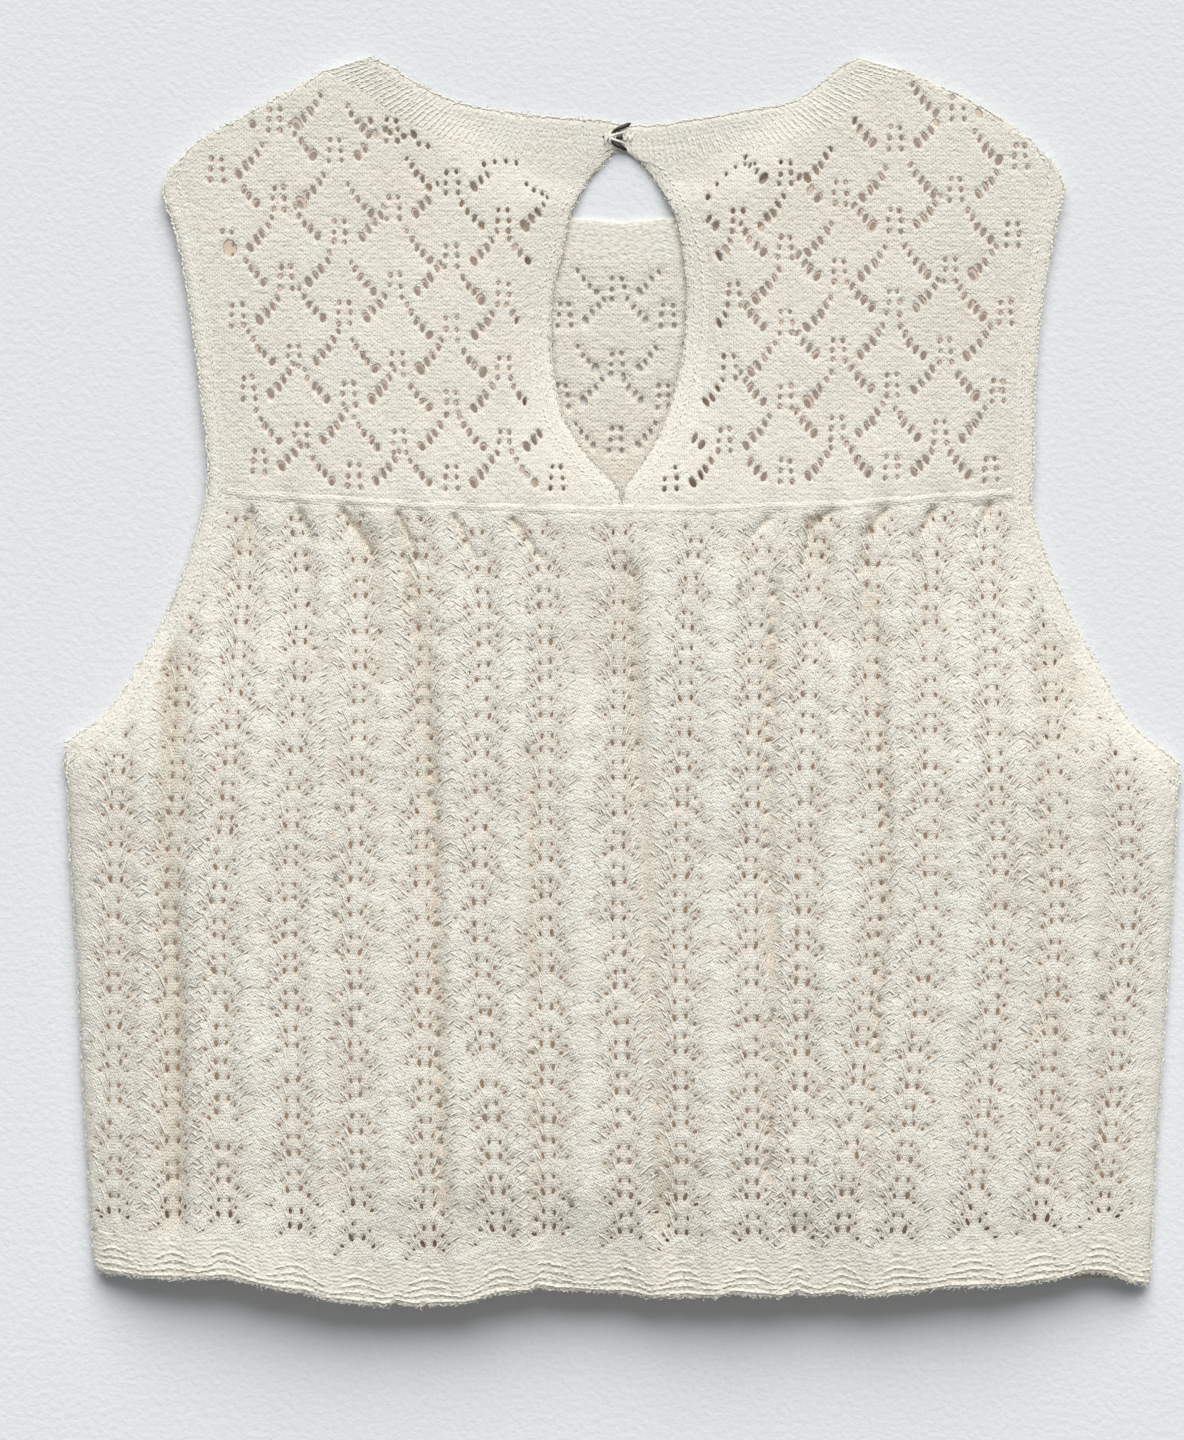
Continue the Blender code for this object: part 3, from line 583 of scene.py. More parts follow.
@dataclass
class Pattern:
    """The edges that the pieces are cut or knitted to.

    Every method gives plain curves, from the neck or shoulder downwards, in millimetres.
    """

    step: float = 1.3
    neckband: float = 15.0
    neckband_at_hook: float = 9.6
    neckband_at_keyhole: float = 16.0
    neckband_on_shoulder: float = 19.0
    keyhole_band: float = 9.0
    edging: float = 7.0
    edging_on_shoulder: float = 9.0
    hem_border: float = 15.5
    welt: float = 4.0
    seam_centre_y: float = 65.0
    seam_side_rise: float = 6.5
    seam_side_x: float = 145.0
    front_hem_y: float = -234.5
    front_hem_tuck: float = 3.0

    def edge(self, table: Sequence[EdgePoint], side: Side, step: float | None = None) -> Array:
        """The curve through one side's columns of a table."""
        if side is Side.LEFT:
            points = [(row.left_x, row.left_y) for row in table]
        else:
            points = [(row.right_x, row.right_y) for row in table]
        return smooth_curve(points, step or self.step)

    def seam_y(self, x: Array | float) -> Array:
        """Level of the yoke seam at a distance from the centre back."""
        return self.seam_centre_y + self.seam_side_rise * (np.asarray(x) / self.seam_side_x) ** 2

    def seam_line(self, start_x: float, end_x: float, shift: float) -> Array:
        """The yoke seam between two places, or a line beside it."""
        x = np.linspace(start_x, end_x, max(2, math.ceil(abs(end_x - start_x) / self.step) + 1))
        return np.column_stack([x, self.seam_y(x) + shift])

    def shoulder_parts(self, side: Side) -> tuple[Array, Array, Array]:
        """The shoulder line at the armhole edging, at the yoke and at the neckband."""
        line = self.edge(SHOULDER, side)
        whole = distances(line)[-1]
        neck_start = whole - self.neckband_on_shoulder
        return (
            part_between(line, 0.0, self.edging_on_shoulder),
            part_between(line, self.edging_on_shoulder, neck_start),
            part_between(line, neck_start, whole),
        )

    def armhole_edges(self, side: Side) -> tuple[Array, Array]:
        """The armhole and the inner edge of its edging."""
        outer = self.edge(ARMHOLE, side)
        inner = inset(outer, self.edging, (0.0, 100.0))
        inner = self.eased(inner, self.shoulder_parts(side)[0][-1], 9)
        slope = (outer[-1] - outer[-2]) / np.linalg.norm(outer[-1] - outer[-2])
        foot = outer[-1] + (0.0, -self.edging / abs(slope[0]))
        return outer, self.eased(inner[::-1], foot, 6)[::-1]

    @staticmethod
    def eased(curve: Array, start: Array, reach: int) -> Array:
        """A curve whose first point is moved to a place, the next ones less and less."""
        shift = np.asarray(start) - curve[0]
        fade = np.clip(1 - np.arange(len(curve)) / reach, 0.0, 1.0)[:, None]
        return curve + shift * fade

    def neckband_width(self, x: Array, narrow: bool) -> Array:
        """Width of a neckband, which narrows where the keyhole reaches up to the closure."""
        if not narrow:
            return np.full(len(x), self.neckband)
        widths = (self.neckband_at_hook, self.neckband_at_hook + 0.3, self.neckband_at_hook + 2.2,
                  self.neckband_at_keyhole, self.neckband)
        return np.interp(abs(x), (0.0, 2.2, 5.0, 14.0, 22.0), widths)

    def neckband_edges(self, side: Side, back: bool) -> tuple[Array, Array]:
        """A neck edge and the lower edge of its band, from the shoulder to the centre."""
        outer = self.edge(BACK_NECK if back else FRONT_NECK, side)
        widths = self.neckband_width(outer[:, 0], back)
        inner = inset(outer, widths, (0.0, 0.0))
        inner = self.eased(inner, self.shoulder_parts(side)[2][0], 9)
        return outer, self.eased(inner[::-1], outer[-1] + (0.0, -widths[-1]), 3)[::-1]

    def under_neckband(self, side: Side, x: Array) -> Array:
        """Level of the lower edge of the back neckband."""
        _, inner = self.neckband_edges(side, True)
        return np.interp(abs(x), abs(inner[::-1, 0]), inner[::-1, 1])

    def keyhole_edges(self, side: Side) -> tuple[Array, Array]:
        """The keyhole and the outer edge of its band, from the neckband down to the seam."""
        opening = self.edge(KEYHOLE, side)
        outer = inset(opening, self.keyhole_band, (200.0 if side is Side.RIGHT else -200.0, 130.0))
        outer = outer[outer[:, 1] > self.seam_y(outer[:, 0]) + self.welt / 2 + 1.0]
        foot = np.array([[outer[-1, 0], self.seam_y(outer[-1, 0]) + self.welt / 2]])
        outer = np.vstack([outer, foot])
        opening = np.vstack([opening, [[0.0, self.seam_y(0.0) + self.welt / 2]]])
        opening = cut_at(opening, self.under_neckband(side, opening[:, 0]), False)
        return opening, cut_at(outer, self.under_neckband(side, outer[:, 0]), False)

    def yoke_half(self, side: Side) -> Array:
        """Outline of one half of the back yoke."""
        _, armhole = self.armhole_edges(side)
        _, neck = self.neckband_edges(side, True)
        _, keyhole = self.keyhole_edges(side)
        _, shoulder, _ = self.shoulder_parts(side)
        neck = neck[abs(neck[:, 0]) > abs(keyhole[0, 0]) + 0.5]
        armhole = cut_at(armhole, self.seam_y(armhole[:, 0]) + self.welt / 2, True)
        seam = self.seam_line(keyhole[-1, 0], armhole[-1, 0], self.welt / 2)
        return loop_of(armhole[::-1], shoulder[1:], neck[1:], keyhole, seam[1:-1])

    def front_yoke(self) -> Array:
        """Outline of the front yoke, in one piece."""
        halves = {}
        for side in Side:
            _, armhole = self.armhole_edges(side)
            _, neck = self.neckband_edges(side, False)
            _, shoulder, _ = self.shoulder_parts(side)
            armhole = cut_at(armhole, self.seam_y(armhole[:, 0]), True)
            halves[side] = np.vstack([armhole[::-1], shoulder[1:], neck[1:]])
        right = halves[Side.RIGHT]
        seam = self.seam_line(right[0, 0], halves[Side.LEFT][0, 0], 0.0)
        return loop_of(halves[Side.LEFT], right[::-1][1:], seam[1:-1])

    def hem_edge(self) -> Array:
        """The lower edge of the back: a point at each fold and a fuller one between."""
        points = [(SIDE_SEAM[-1].left_x, SIDE_SEAM[-1].left_y)]
        points += [(fold.hem_x, fold.hem_y) for fold in FOLDS]
        points.append((SIDE_SEAM[-1].right_x, SIDE_SEAM[-1].right_y))
        edge = smooth_curve(points, self.step)
        for x, rise, width in HEM_WAVES:
            edge[1:-1, 1] += rise * np.exp(-((edge[1:-1, 0] - x) / width) ** 2)
        return edge

    def front_hem_edge(self) -> Array:
        """The lower edge of the front, a little shorter than the back."""
        left, tuck = SIDE_SEAM[-1], self.front_hem_tuck
        points = [(left.left_x, left.left_y + tuck)]
        points += [(x, self.front_hem_y + tuck) for x in (-100.0, 0.0, 100.0)]
        points.append((left.right_x, left.right_y + tuck))
        return self.on_sides(smooth_curve(points, self.step * 2))

    def on_sides(self, curve: Array) -> Array:
        """A curve across the body with its ends on the side seams."""
        curve = curve.copy()
        for index, side in ((0, Side.LEFT), (-1, Side.RIGHT)):
            curve[index, 0] = crossing_x(self.edge(SIDE_SEAM, side), curve[index, 1])
        return curve

    def above_hem(self, lower: Array) -> Array:
        """The upper edge of a hem border."""
        return self.on_sides(lower + (0.0, self.hem_border))

    def hem_top(self) -> Array:
        """The upper edge of the back hem border, where the lace of the body ends."""
        return self.above_hem(self.hem_edge())

    def lace_top(self, x: Array, shift: float) -> Array:
        """Level of the upper edge of a body's lace, near the seam or under an armhole."""
        armhole = np.interp(abs(x), (157.0, 166.0, 185.0, 205.0, 213.0),
                            (70.0, 42.0, 2.0, -26.0, -34.0))
        return np.minimum(self.seam_y(x) + shift, armhole)

    def body(self, hem_top: Array, seam_shift: float) -> Array:
        """Outline of a body from the yoke seam to the top of its hem border."""
        edges = {}
        for side, hem_end in ((Side.LEFT, hem_top[0]), (Side.RIGHT, hem_top[-1])):
            _, inner = self.armhole_edges(side)
            below = cut_at(inner, self.seam_y(inner[:, 0]) + seam_shift, False)
            line = self.edge(SIDE_SEAM, side)
            between = line[(line[:, 1] < below[-1, 1] - 0.5) & (line[:, 1] > hem_end[1] + 0.5)]
            edges[side] = np.vstack([below, between, hem_end])
        right, left = edges[Side.RIGHT], edges[Side.LEFT]
        seam = self.seam_line(right[0, 0], left[0, 0], seam_shift)
        return loop_of(left, hem_top[1:-1], right[::-1], seam[1:-1])

    def side_line(self, side: Side) -> Array:
        """The whole outer edge of one side, armhole and side seam."""
        return np.vstack([self.edge(ARMHOLE, side), self.edge(SIDE_SEAM, side)[1:]])


@dataclass
class Drape:
    """Height of the cloth as it lies: a low crown, a rounded body, folds and creases."""

    pattern: Pattern
    wall: float = 2.0
    gather_lean: float = 6.0
    gather_reach: float = 14.0
    lean_in_full: float = 30.0
    fold_fade: float = 12.0
    fold_share: float = 0.7        # how much of each fold's and long fold's depth is left
    long_fold_share: float = 1.15
    dips_from: float = -190.0      # the hem's dips grow from this level down, over this length
    dips_over: float = 48.0
    settled: float = 3.0           # how far the cloth sinks above the front's neckline
    resting: float = 4.6           # its height round the keyhole, on the front
    without_front: float = 2.4     # and how much lower it rests where no front is below it
    front_neck: Array = field(init=False)
    left: Array = field(init=False)
    right: Array = field(init=False)
    levels: Array = field(init=False)
    rises: dict[str, Array] = field(init=False)
    sides: dict[str, Array] = field(init=False)

    def __post_init__(self) -> None:
        """Readies the side lines and a smoothed table of the sections."""
        self.left = self.pattern.side_line(Side.LEFT)
        self.right = self.pattern.side_line(Side.RIGHT)
        neck = [self.pattern.edge(FRONT_NECK, side) for side in Side]
        self.front_neck = np.vstack([neck[0], neck[1][::-1][1:]])
        self.levels = np.arange(-246.0, 247.0, 2.0)
        rows = SECTIONS[::-1]
        self.rises = {
            name: self.smoothed(np.interp(self.levels, [row.y for row in rows],
                                          [getattr(row, name) for row in rows]), 6)
            for name in ("crown", "edge", "flatness", "turn")}
        self.sides = {name: self.smoothed(crossing_x(line, self.levels), 13)
                      for name, line in (("left", self.left), ("right", self.right))}

    @staticmethod
    def smoothed(column: Array, reach: int) -> Array:
        """Values evened out over a number of neighbours on each side."""
        blur = np.hanning(2 * reach + 1)
        return np.convolve(np.pad(column, reach, mode="edge"), blur / blur.sum(), mode="valid")

    def rise(self, y: Array, name: str) -> Array:
        """A column of the sections at any level."""
        return np.interp(y, self.levels, self.rises[name])

    def outward(self, x: Array, y: Array) -> Array:
        """Distance from the middle of the back to its edge, from 0 to 1."""
        left = np.interp(y, self.levels, self.sides["left"])
        right = np.interp(y, self.levels, self.sides["right"])
        return np.minimum(abs(x - (left + right) / 2) / ((right - left) / 2), 1.0)

    def plain_back(self, x: Array, y: Array) -> Array:
        """Height of the upper face of the back, without its folds."""
        bulge = (1 - self.outward(x, y) ** self.rise(y, "flatness")) ** self.rise(y, "turn")
        low, high = self.rise(y, "edge"), self.rise(y, "crown")
        return low + (high - low) * bulge

    def fold_values(self, y: Array, names: tuple[str, str, str]) -> Array:
        """Where each fold lies at each level, or how deep it is: a row for each fold."""
        return np.array([
            np.interp(y, FOLD_LEVELS[::-1], [getattr(fold, name) for name in names[::-1]])
            for fold in FOLDS
        ])

    def columns(self, y: Array) -> Array:
        """The x of every fold at each level, leaning out under the gathers: a row for each."""
        x = self.fold_values(y, ("top_x", "middle_x", "hem_x"))
        below = np.maximum(self.pattern.seam_y(x) - self.pattern.welt / 2 - y, 0.0)
        lean = self.gather_lean * np.exp(-below / self.gather_reach)
        return x + np.sign(x) * lean * np.minimum(abs(x) / self.lean_in_full, 1.0)

    def between(self, x: Array, y: Array) -> tuple[Array, Array, Array, Array]:
        """Where points lie among the columns of the body.

        Args:
            x: places across the garment.
            y: places up the garment.

        Returns:
            The share of the way from one column to the next, the distance from the nearer
            column, half the distance between the two, and the depth of the nearer fold.
        """
        lines = extended(self.columns(y))
        depths = self.fold_values(y, ("top_depth", "middle_depth", "hem_depth"))
        depths = np.vstack([np.zeros_like(depths[:1]), depths, np.zeros_like(depths[:1])])
        at = np.clip((lines <= x).sum(axis=0) - 1, 0, len(lines) - 2)
        places = np.arange(len(x))
        low, high = lines[at, places], lines[at + 1, places]
        share = np.clip((x - low) / (high - low), 0.0, 1.0)
        depth = depths[at, places] + (depths[at + 1, places] - depths[at, places]) * share
        return share, np.minimum(x - low, high - x), (high - low) / 2, depth

    def fold_drop(self, x: Array, y: Array) -> Array:
        """How far the folds lower the back, sharper under the gathers than lower down."""
        under = y - (self.pattern.seam_y(x) - self.pattern.welt / 2)
        fade = np.clip(1 - np.maximum(under, 0.0) / self.fold_fade, 0.0, 1.0) ** 2
        share, _, _, depth = self.between(x, y)
        sharpness = 1.0 + 1.2 * np.exp(np.minimum(under, 0.0) / 22.0)
        valley = (0.5 + 0.5 * np.cos(TAU * share)) ** sharpness
        return fade * depth * valley * (1 - self.outward(x, y) ** 12)

    @staticmethod
    def crease_drop(x: Array, y: Array) -> Array:
        """How far the creases lower the cloth."""
        drop = np.zeros_like(x)
        for crease in CREASES:
            run = np.array([crease.to_x - crease.from_x, crease.to_y - crease.from_y])
            offset_x, offset_y = x - crease.from_x, y - crease.from_y
            share = np.clip((offset_x * run[0] + offset_y * run[1]) / (run ** 2).sum(), 0.0, 1.0)
            away = np.hypot(offset_x - run[0] * share, offset_y - run[1] * share)
            taper = 1 - 0.55 * share
            drop += crease.depth * taper * np.exp(-(away / crease.width) ** 2)
        return drop

    @staticmethod
    def long_folds(x: Array, y: Array, name: str) -> Array:
        """Sum of one value of the long folds, faded at their ends."""
        total = np.zeros_like(x)
        for fold in LONG_FOLDS:
            route = np.array(fold.route)
            away = x - np.interp(y, route[::-1, 1], route[::-1, 0])
            ends = smooth_step((route[0, 1] + 6.0 - y) / 14.0) * smooth_step(
                (y - route[-1, 1] + 6.0) / 14.0)
            total += getattr(fold, name) * ends * np.exp(-(away / fold.width) ** 2)
        return total

    @staticmethod
    def hem_dip(x: Array) -> Array:
        """How far the lower edge drops, eased from place to place."""
        table = np.array(HEM_DIPS)
        at = np.clip(np.searchsorted(table[:, 0], x) - 1, 0, len(table) - 2)
        share = smooth_step((x - table[at, 0]) / (table[at + 1, 0] - table[at, 0]))
        return table[at, 1] + (table[at + 1, 1] - table[at, 1]) * share

    @staticmethod
    def unevenness(x: Array, y: Array) -> Array:
        """Slow rises and dips of cloth that was smoothed down by hand."""
        return (
            0.45 * np.sin(x / 23.0 + 1.3 * np.sin(y / 37.0))
            * np.cos(y / 19.0 + 0.9 * np.sin(x / 31.0))
            + 0.22 * np.sin(x / 9.7 + y / 12.1) * np.sin(y / 8.3 - x / 15.7)
        )

    def back(self, x: Array, y: Array) -> Array:
        """Height of the upper face of the back."""
        out = 1 - self.outward(x, y) ** 8
        seam = self.pattern.seam_y(x) - self.pattern.welt / 2
        below = np.clip((seam + 1.0 - y) / 3.0, 0.0, 1.0)
        drop = self.fold_share * self.fold_drop(x, y)
        drop = drop + self.crease_drop(x, y) * np.maximum(below, 0.3)
        drop += self.long_fold_share * self.long_folds(x, y, "depth") * out * below
        drop += self.hem_dip(x) * smooth_step((self.dips_from - y) / self.dips_over)
        past_neck = y - crossing_y(self.front_neck, x)
        drop += self.settled * smooth_step((past_neck + 4.0) / 26.0) * (
            smooth_step((95.0 - abs(x)) / 40.0))
        height = self.plain_back(x, y) - drop + self.unevenness(x, y) * out * 0.8
        resting = self.resting - self.without_front * smooth_step((past_neck - 2.0) / 14.0)
        near = smooth_step((1.9 - np.hypot(x / 26.0, (y - 140.0) / 75.0)) / 0.8)
        near = near * smooth_step((y - 62.0) / 80.0)
        return height + near * np.minimum(resting - height, 0.0)

    def front(self, x: Array, y: Array) -> Array:
        """Height of the upper face of the front, which lies flat."""
        return np.full(np.shape(x), self.wall)


# Finishes

class Recipe:
    """A new node material, ready for a finish to add its own nodes."""

    def __init__(self, name: str, plain: Colour, settings: dict[str, float]) -> None:
        """Makes the material.

        Args:
            name: its name.
            plain: its colour in a plain view.
            settings: a number for each of its shader's inputs that has one.
        """
        self.made = bpy.data.materials.new(name)
        self.made.use_nodes = True
        self.made.diffuse_color = (*plain, 1.0)
        self.nodes = Nodes(self.made.node_tree)
        self.inputs = self.made.node_tree.nodes["Principled BSDF"].inputs
        for key, value in settings.items():
            self.inputs[key].default_value = value
        self.coords = self.nodes.add("ShaderNodeTexCoord").outputs["Object"]

    def blend(self, share: object, first: object, second: Colour) -> bpy.types.NodeSocket:
        """One colour laid over another by a share."""
        first = (*first, 1.0) if isinstance(first, tuple) else first
        return self.nodes.mix(share, first, (*second, 1.0))

    def bump(self, value: bpy.types.NodeSocket, depth: float, strength: float = 1.0) -> None:
        """Relief over what the shader's normal has already."""
        given = {"Distance": depth, "Strength": strength, "Height": value}
        if self.inputs["Normal"].is_linked:
            given["Normal"] = self.inputs["Normal"].links[0].from_socket
        relief = self.nodes.fed("ShaderNodeBump", given)
        self.nodes.link(relief.outputs[0], self.inputs["Normal"])


@dataclass(frozen=True)
class KnitFinish:
    """Matt, slightly fuzzy cotton yarn in one stitch.

    The stitches follow the map named stitches, which counts wales across and courses up.
    hollow and inside are attributes of the piece that paint light and shade. hollow is painted
    shade,
    1 in the bottom of a fold or eyelet. inside is 1 on the face turned to the inside of the
    garment, painted a dark warm shade; past one half it glows, a painted light for light through
    the knit.
    """

    name: str
    stitch: Stitch
    yarn: Colour = (0.86, 0.84, 0.745)
    warm: Colour = (0.86, 0.79, 0.68)
    shaded: Colour = (0.65, 0.575, 0.45)
    # inside is the dark warm painted shade of the face turned inside, and glow the colour of the
    # painted light there
    inside: Colour = (0.30, 0.24, 0.20)
    glow: Colour = (0.54, 0.445, 0.37)
    relief: float = 0.00022
    fuzz: float = 0.00024

    def material(self) -> bpy.types.Material:
        """The finish as a node material."""
        recipe = Recipe(self.name, self.yarn, {"Roughness": 0.92, "Sheen Weight": 0.2,
                                               "Sheen Roughness": 0.6, "Emission Strength": 1.0,
                                               "Specular IOR Level": 0.15})
        nodes, coords = recipe.nodes, recipe.coords
        place = nodes.add("ShaderNodeUVMap", uv_map="stitches").outputs[0]
        split = nodes.fed("ShaderNodeSeparateXYZ", {0: place})
        wander = nodes.math("MULTIPLY", nodes.centred(nodes.noise(coords, 260.0, 1.0, 0.5)), 0.9)
        height = self.stitch_height(nodes, nodes.math("ADD", split.outputs[0], wander),
                                    nodes.math("ADD", split.outputs[1], wander))
        fibre = nodes.noise(coords, 1500.0, 3.0, 0.75)
        lump = nodes.noise(coords, 430.0, 2.0, 0.6)
        for value, depth in ((height, self.relief), (lump, self.fuzz * 3.4), (fibre, self.fuzz)):
            recipe.bump(value, depth)
        # Painted shade: the grooves between stitches and the folds and eyelets go towards the
        # shaded colour; the lumps add random patches
        tone = nodes.math("MULTIPLY", nodes.math("SUBTRACT", 1.0, height), 0.22)
        tone = nodes.math("ADD", tone, nodes.math("MULTIPLY", nodes.attribute("painted_shade"), 0.85))
        tone = nodes.math("ADD", tone, nodes.math("MULTIPLY", nodes.centred(lump), 0.55))
        hue = nodes.math("MULTIPLY", nodes.noise(coords, 75.0, 2.0, 0.6), 1.6)
        colour = recipe.blend(nodes.math("SUBTRACT", hue, 0.45), self.yarn, self.warm)
        colour = recipe.blend(tone, colour, self.shaded)
        # Painted dark warm shade on the face turned inside
        colour = recipe.blend(nodes.attribute("inside"), colour, self.inside)
        nodes.link(colour, recipe.inputs["Base Color"])
        # Painted light: past one half of that share the face glows, as if lit through the knit
        painted_share = nodes.math("SUBTRACT", nodes.math("MULTIPLY", nodes.attribute("inside"), 2.0), 1.0)
        nodes.link(recipe.blend(painted_share, (0.0, 0.0, 0.0), self.glow), recipe.inputs["Emission Color"])
        return recipe.made

    def stitch_height(
        self, nodes: Nodes, wale: bpy.types.NodeSocket, course: bpy.types.NodeSocket
    ) -> bpy.types.NodeSocket:
        """Height of the stitches, from 0 in a groove to 1 on the yarn.

        Args:
            nodes: the material's nodes.
            wale: count of wales across.
            course: count of courses up.

        Returns:
            The socket that carries the height.
        """
        across = nodes.math("FRACT", wale)
        from_middle = nodes.math("ABSOLUTE", nodes.math("SUBTRACT", across, 0.5))
        leg = nodes.math("SINE", nodes.math("MULTIPLY", from_middle, TAU))
        if self.stitch is Stitch.RIB:
            rib = nodes.math("SINE", nodes.math("MULTIPLY", across, math.pi))
            row = nodes.wave(nodes.math("SUBTRACT", course, from_middle))
            return nodes.math("ADD", nodes.math("MULTIPLY", rib, 0.7),
                              nodes.math("MULTIPLY", row, 0.3))
        if self.stitch is Stitch.GARTER:
            half = nodes.math("MULTIPLY", nodes.math("FLOOR", course), 0.5)
            bead = nodes.wave(nodes.math("ADD", wale, half))
            ridge = nodes.wave(course)
            return nodes.math("ADD", nodes.math("MULTIPLY", ridge, 0.55),
                              nodes.math("MULTIPLY", bead, 0.45))
        slanted = nodes.math("SUBTRACT", course, nodes.math("MULTIPLY", from_middle, 1.3))
        vee = nodes.wave(slanted)
        return nodes.math("ADD", nodes.math("MULTIPLY", vee, 0.45),
                          nodes.math("MULTIPLY", nodes.math("POWER", leg, 0.6), 0.55))


@dataclass(frozen=True)
class YarnFinish:
    """A single strand of the same cotton, seen as a separate length of yarn."""

    name: str = "cotton_strand"
    yarn: Colour = (0.86, 0.84, 0.745)
    shaded: Colour = (0.83, 0.79, 0.685)

    def material(self) -> bpy.types.Material:
        """The finish as a node material."""
        recipe = Recipe(self.name, self.yarn, {"Roughness": 0.9, "Sheen Weight": 0.3,
                                               "Sheen Roughness": 0.6, "Specular IOR Level": 0.2})
        recipe.bump(recipe.nodes.noise(recipe.coords, 2200.0, 3.0, 0.7), 0.0002)
        patches = recipe.nodes.noise(recipe.coords, 300.0, 2.0, 0.5)
        recipe.nodes.link(recipe.blend(patches, self.yarn, self.shaded),
                          recipe.inputs["Base Color"])
        return recipe.made


@dataclass(frozen=True)
class WireFinish:
    """Dark enamelled wire, rubbed a little brighter in places."""

    name: str = "dark_wire"
    enamel: Colour = (0.035, 0.032, 0.028)
    rubbed: Colour = (0.16, 0.145, 0.12)

    def material(self) -> bpy.types.Material:
        """The finish as a node material."""
        recipe = Recipe(self.name, self.enamel, {"Metallic": 0.8})
        nodes = recipe.nodes
        wear = nodes.noise(recipe.coords, 1500.0, 2.0, 0.6)
        bare = nodes.math("MULTIPLY", wear, 0.35)
        nodes.link(recipe.blend(bare, self.enamel, self.rubbed), recipe.inputs["Base Color"])
        rough = nodes.math("ADD", nodes.math("MULTIPLY", wear, 0.2), 0.3)
        nodes.link(rough, recipe.inputs["Roughness"])
        return recipe.made


@dataclass(frozen=True)
class FloorFinish:
    """A plain pale surface with a faint tooth."""

    name: str = "pale_surface"
    light: Colour = (0.80, 0.815, 0.83)
    dark: Colour = (0.74, 0.755, 0.775)

    def material(self) -> bpy.types.Material:
        """The finish as a node material."""
        recipe = Recipe(self.name, (0.8, 0.8, 0.8), {"Roughness": 0.95,
                                                     "Specular IOR Level": 0.1})
        tooth = recipe.nodes.noise(recipe.coords, 420.0, 4.0, 0.6)
        recipe.nodes.link(recipe.blend(tooth, self.light, self.dark), recipe.inputs["Base Color"])
        recipe.bump(tooth, 0.0008, 0.5)
        return recipe.made


class Nodes:
    """Short ways to add and link nodes in one tree."""

    def __init__(self, tree: bpy.types.NodeTree) -> None:
        """Keeps the tree that nodes are added to."""
        self.tree = tree

    def add(self, kind: str, **settings: object) -> bpy.types.Node:
        """A new node with its properties set."""
        node = self.tree.nodes.new(kind)
        for key, value in settings.items():
            setattr(node, key, value)
        return node

    def link(self, start: bpy.types.NodeSocket, end: bpy.types.NodeSocket) -> None:
        """Joins two sockets."""
        self.tree.links.new(start, end)

    def feed(self, socket: bpy.types.NodeSocket, value: object) -> None:
        """Links a socket to another one, or sets its plain value."""
        if isinstance(value, bpy.types.NodeSocket):
            self.link(value, socket)
        else:
            socket.default_value = value

    def fed(self, kind: str, given: dict[str | int, object], **settings: object) -> bpy.types.Node:
        """A new node with its properties set and its inputs fed."""
        node = self.add(kind, **settings)
        for key, value in given.items():
            self.feed(node.inputs[key], value)
        return node

    def math(self, operation: str, first: object, second: object = 0.0) -> bpy.types.NodeSocket:
        """The result of a Math node."""
        return self.fed("ShaderNodeMath", {0: first, 1: second}, operation=operation).outputs[0]

    def wave(self, phase: object) -> bpy.types.NodeSocket:
        """A wave from 0 to 1 that peaks where the phase is whole."""
        turned = self.math("COSINE", self.math("MULTIPLY", phase, TAU))
        return self.math("ADD", self.math("MULTIPLY", turned, 0.5), 0.5)

    def centred(self, value: bpy.types.NodeSocket) -> bpy.types.NodeSocket:
        """A noise moved so that its middle is 0."""
        return self.math("SUBTRACT", value, 0.5)

    def noise(
        self, place: bpy.types.NodeSocket, scale: float, detail: float, rough: float
    ) -> bpy.types.NodeSocket:
        """The value of a Noise Texture node."""
        return self.fed("ShaderNodeTexNoise", {"Vector": place, "Scale": scale, "Detail": detail,
                                               "Roughness": rough}).outputs["Fac"]

    def attribute(self, name: str) -> bpy.types.NodeSocket:
        """A number that the piece carries at each vertex."""
        return self.add("ShaderNodeAttribute", attribute_name=name).outputs["Fac"]

    def mix(self, factor: object, first: object, second: object) -> bpy.types.NodeSocket:
        """A blend of two colours."""
        node = self.add("ShaderNodeMix", data_type="RGBA", clamp_factor=True)
        for key, value in (("Factor", factor), ("A", first), ("B", second)):
            self.feed(node.inputs[key], value)
        return next(socket for socket in node.outputs if socket.type == "RGBA")


# Lace

class Eyelet(NamedTuple):
    """A hole of the lace: its centre, its size, and its long axis, anticlockwise from +Y."""

    x: float
    y: float
    width: float
    length: float
    turn: float
    sides: int
    lipped: bool


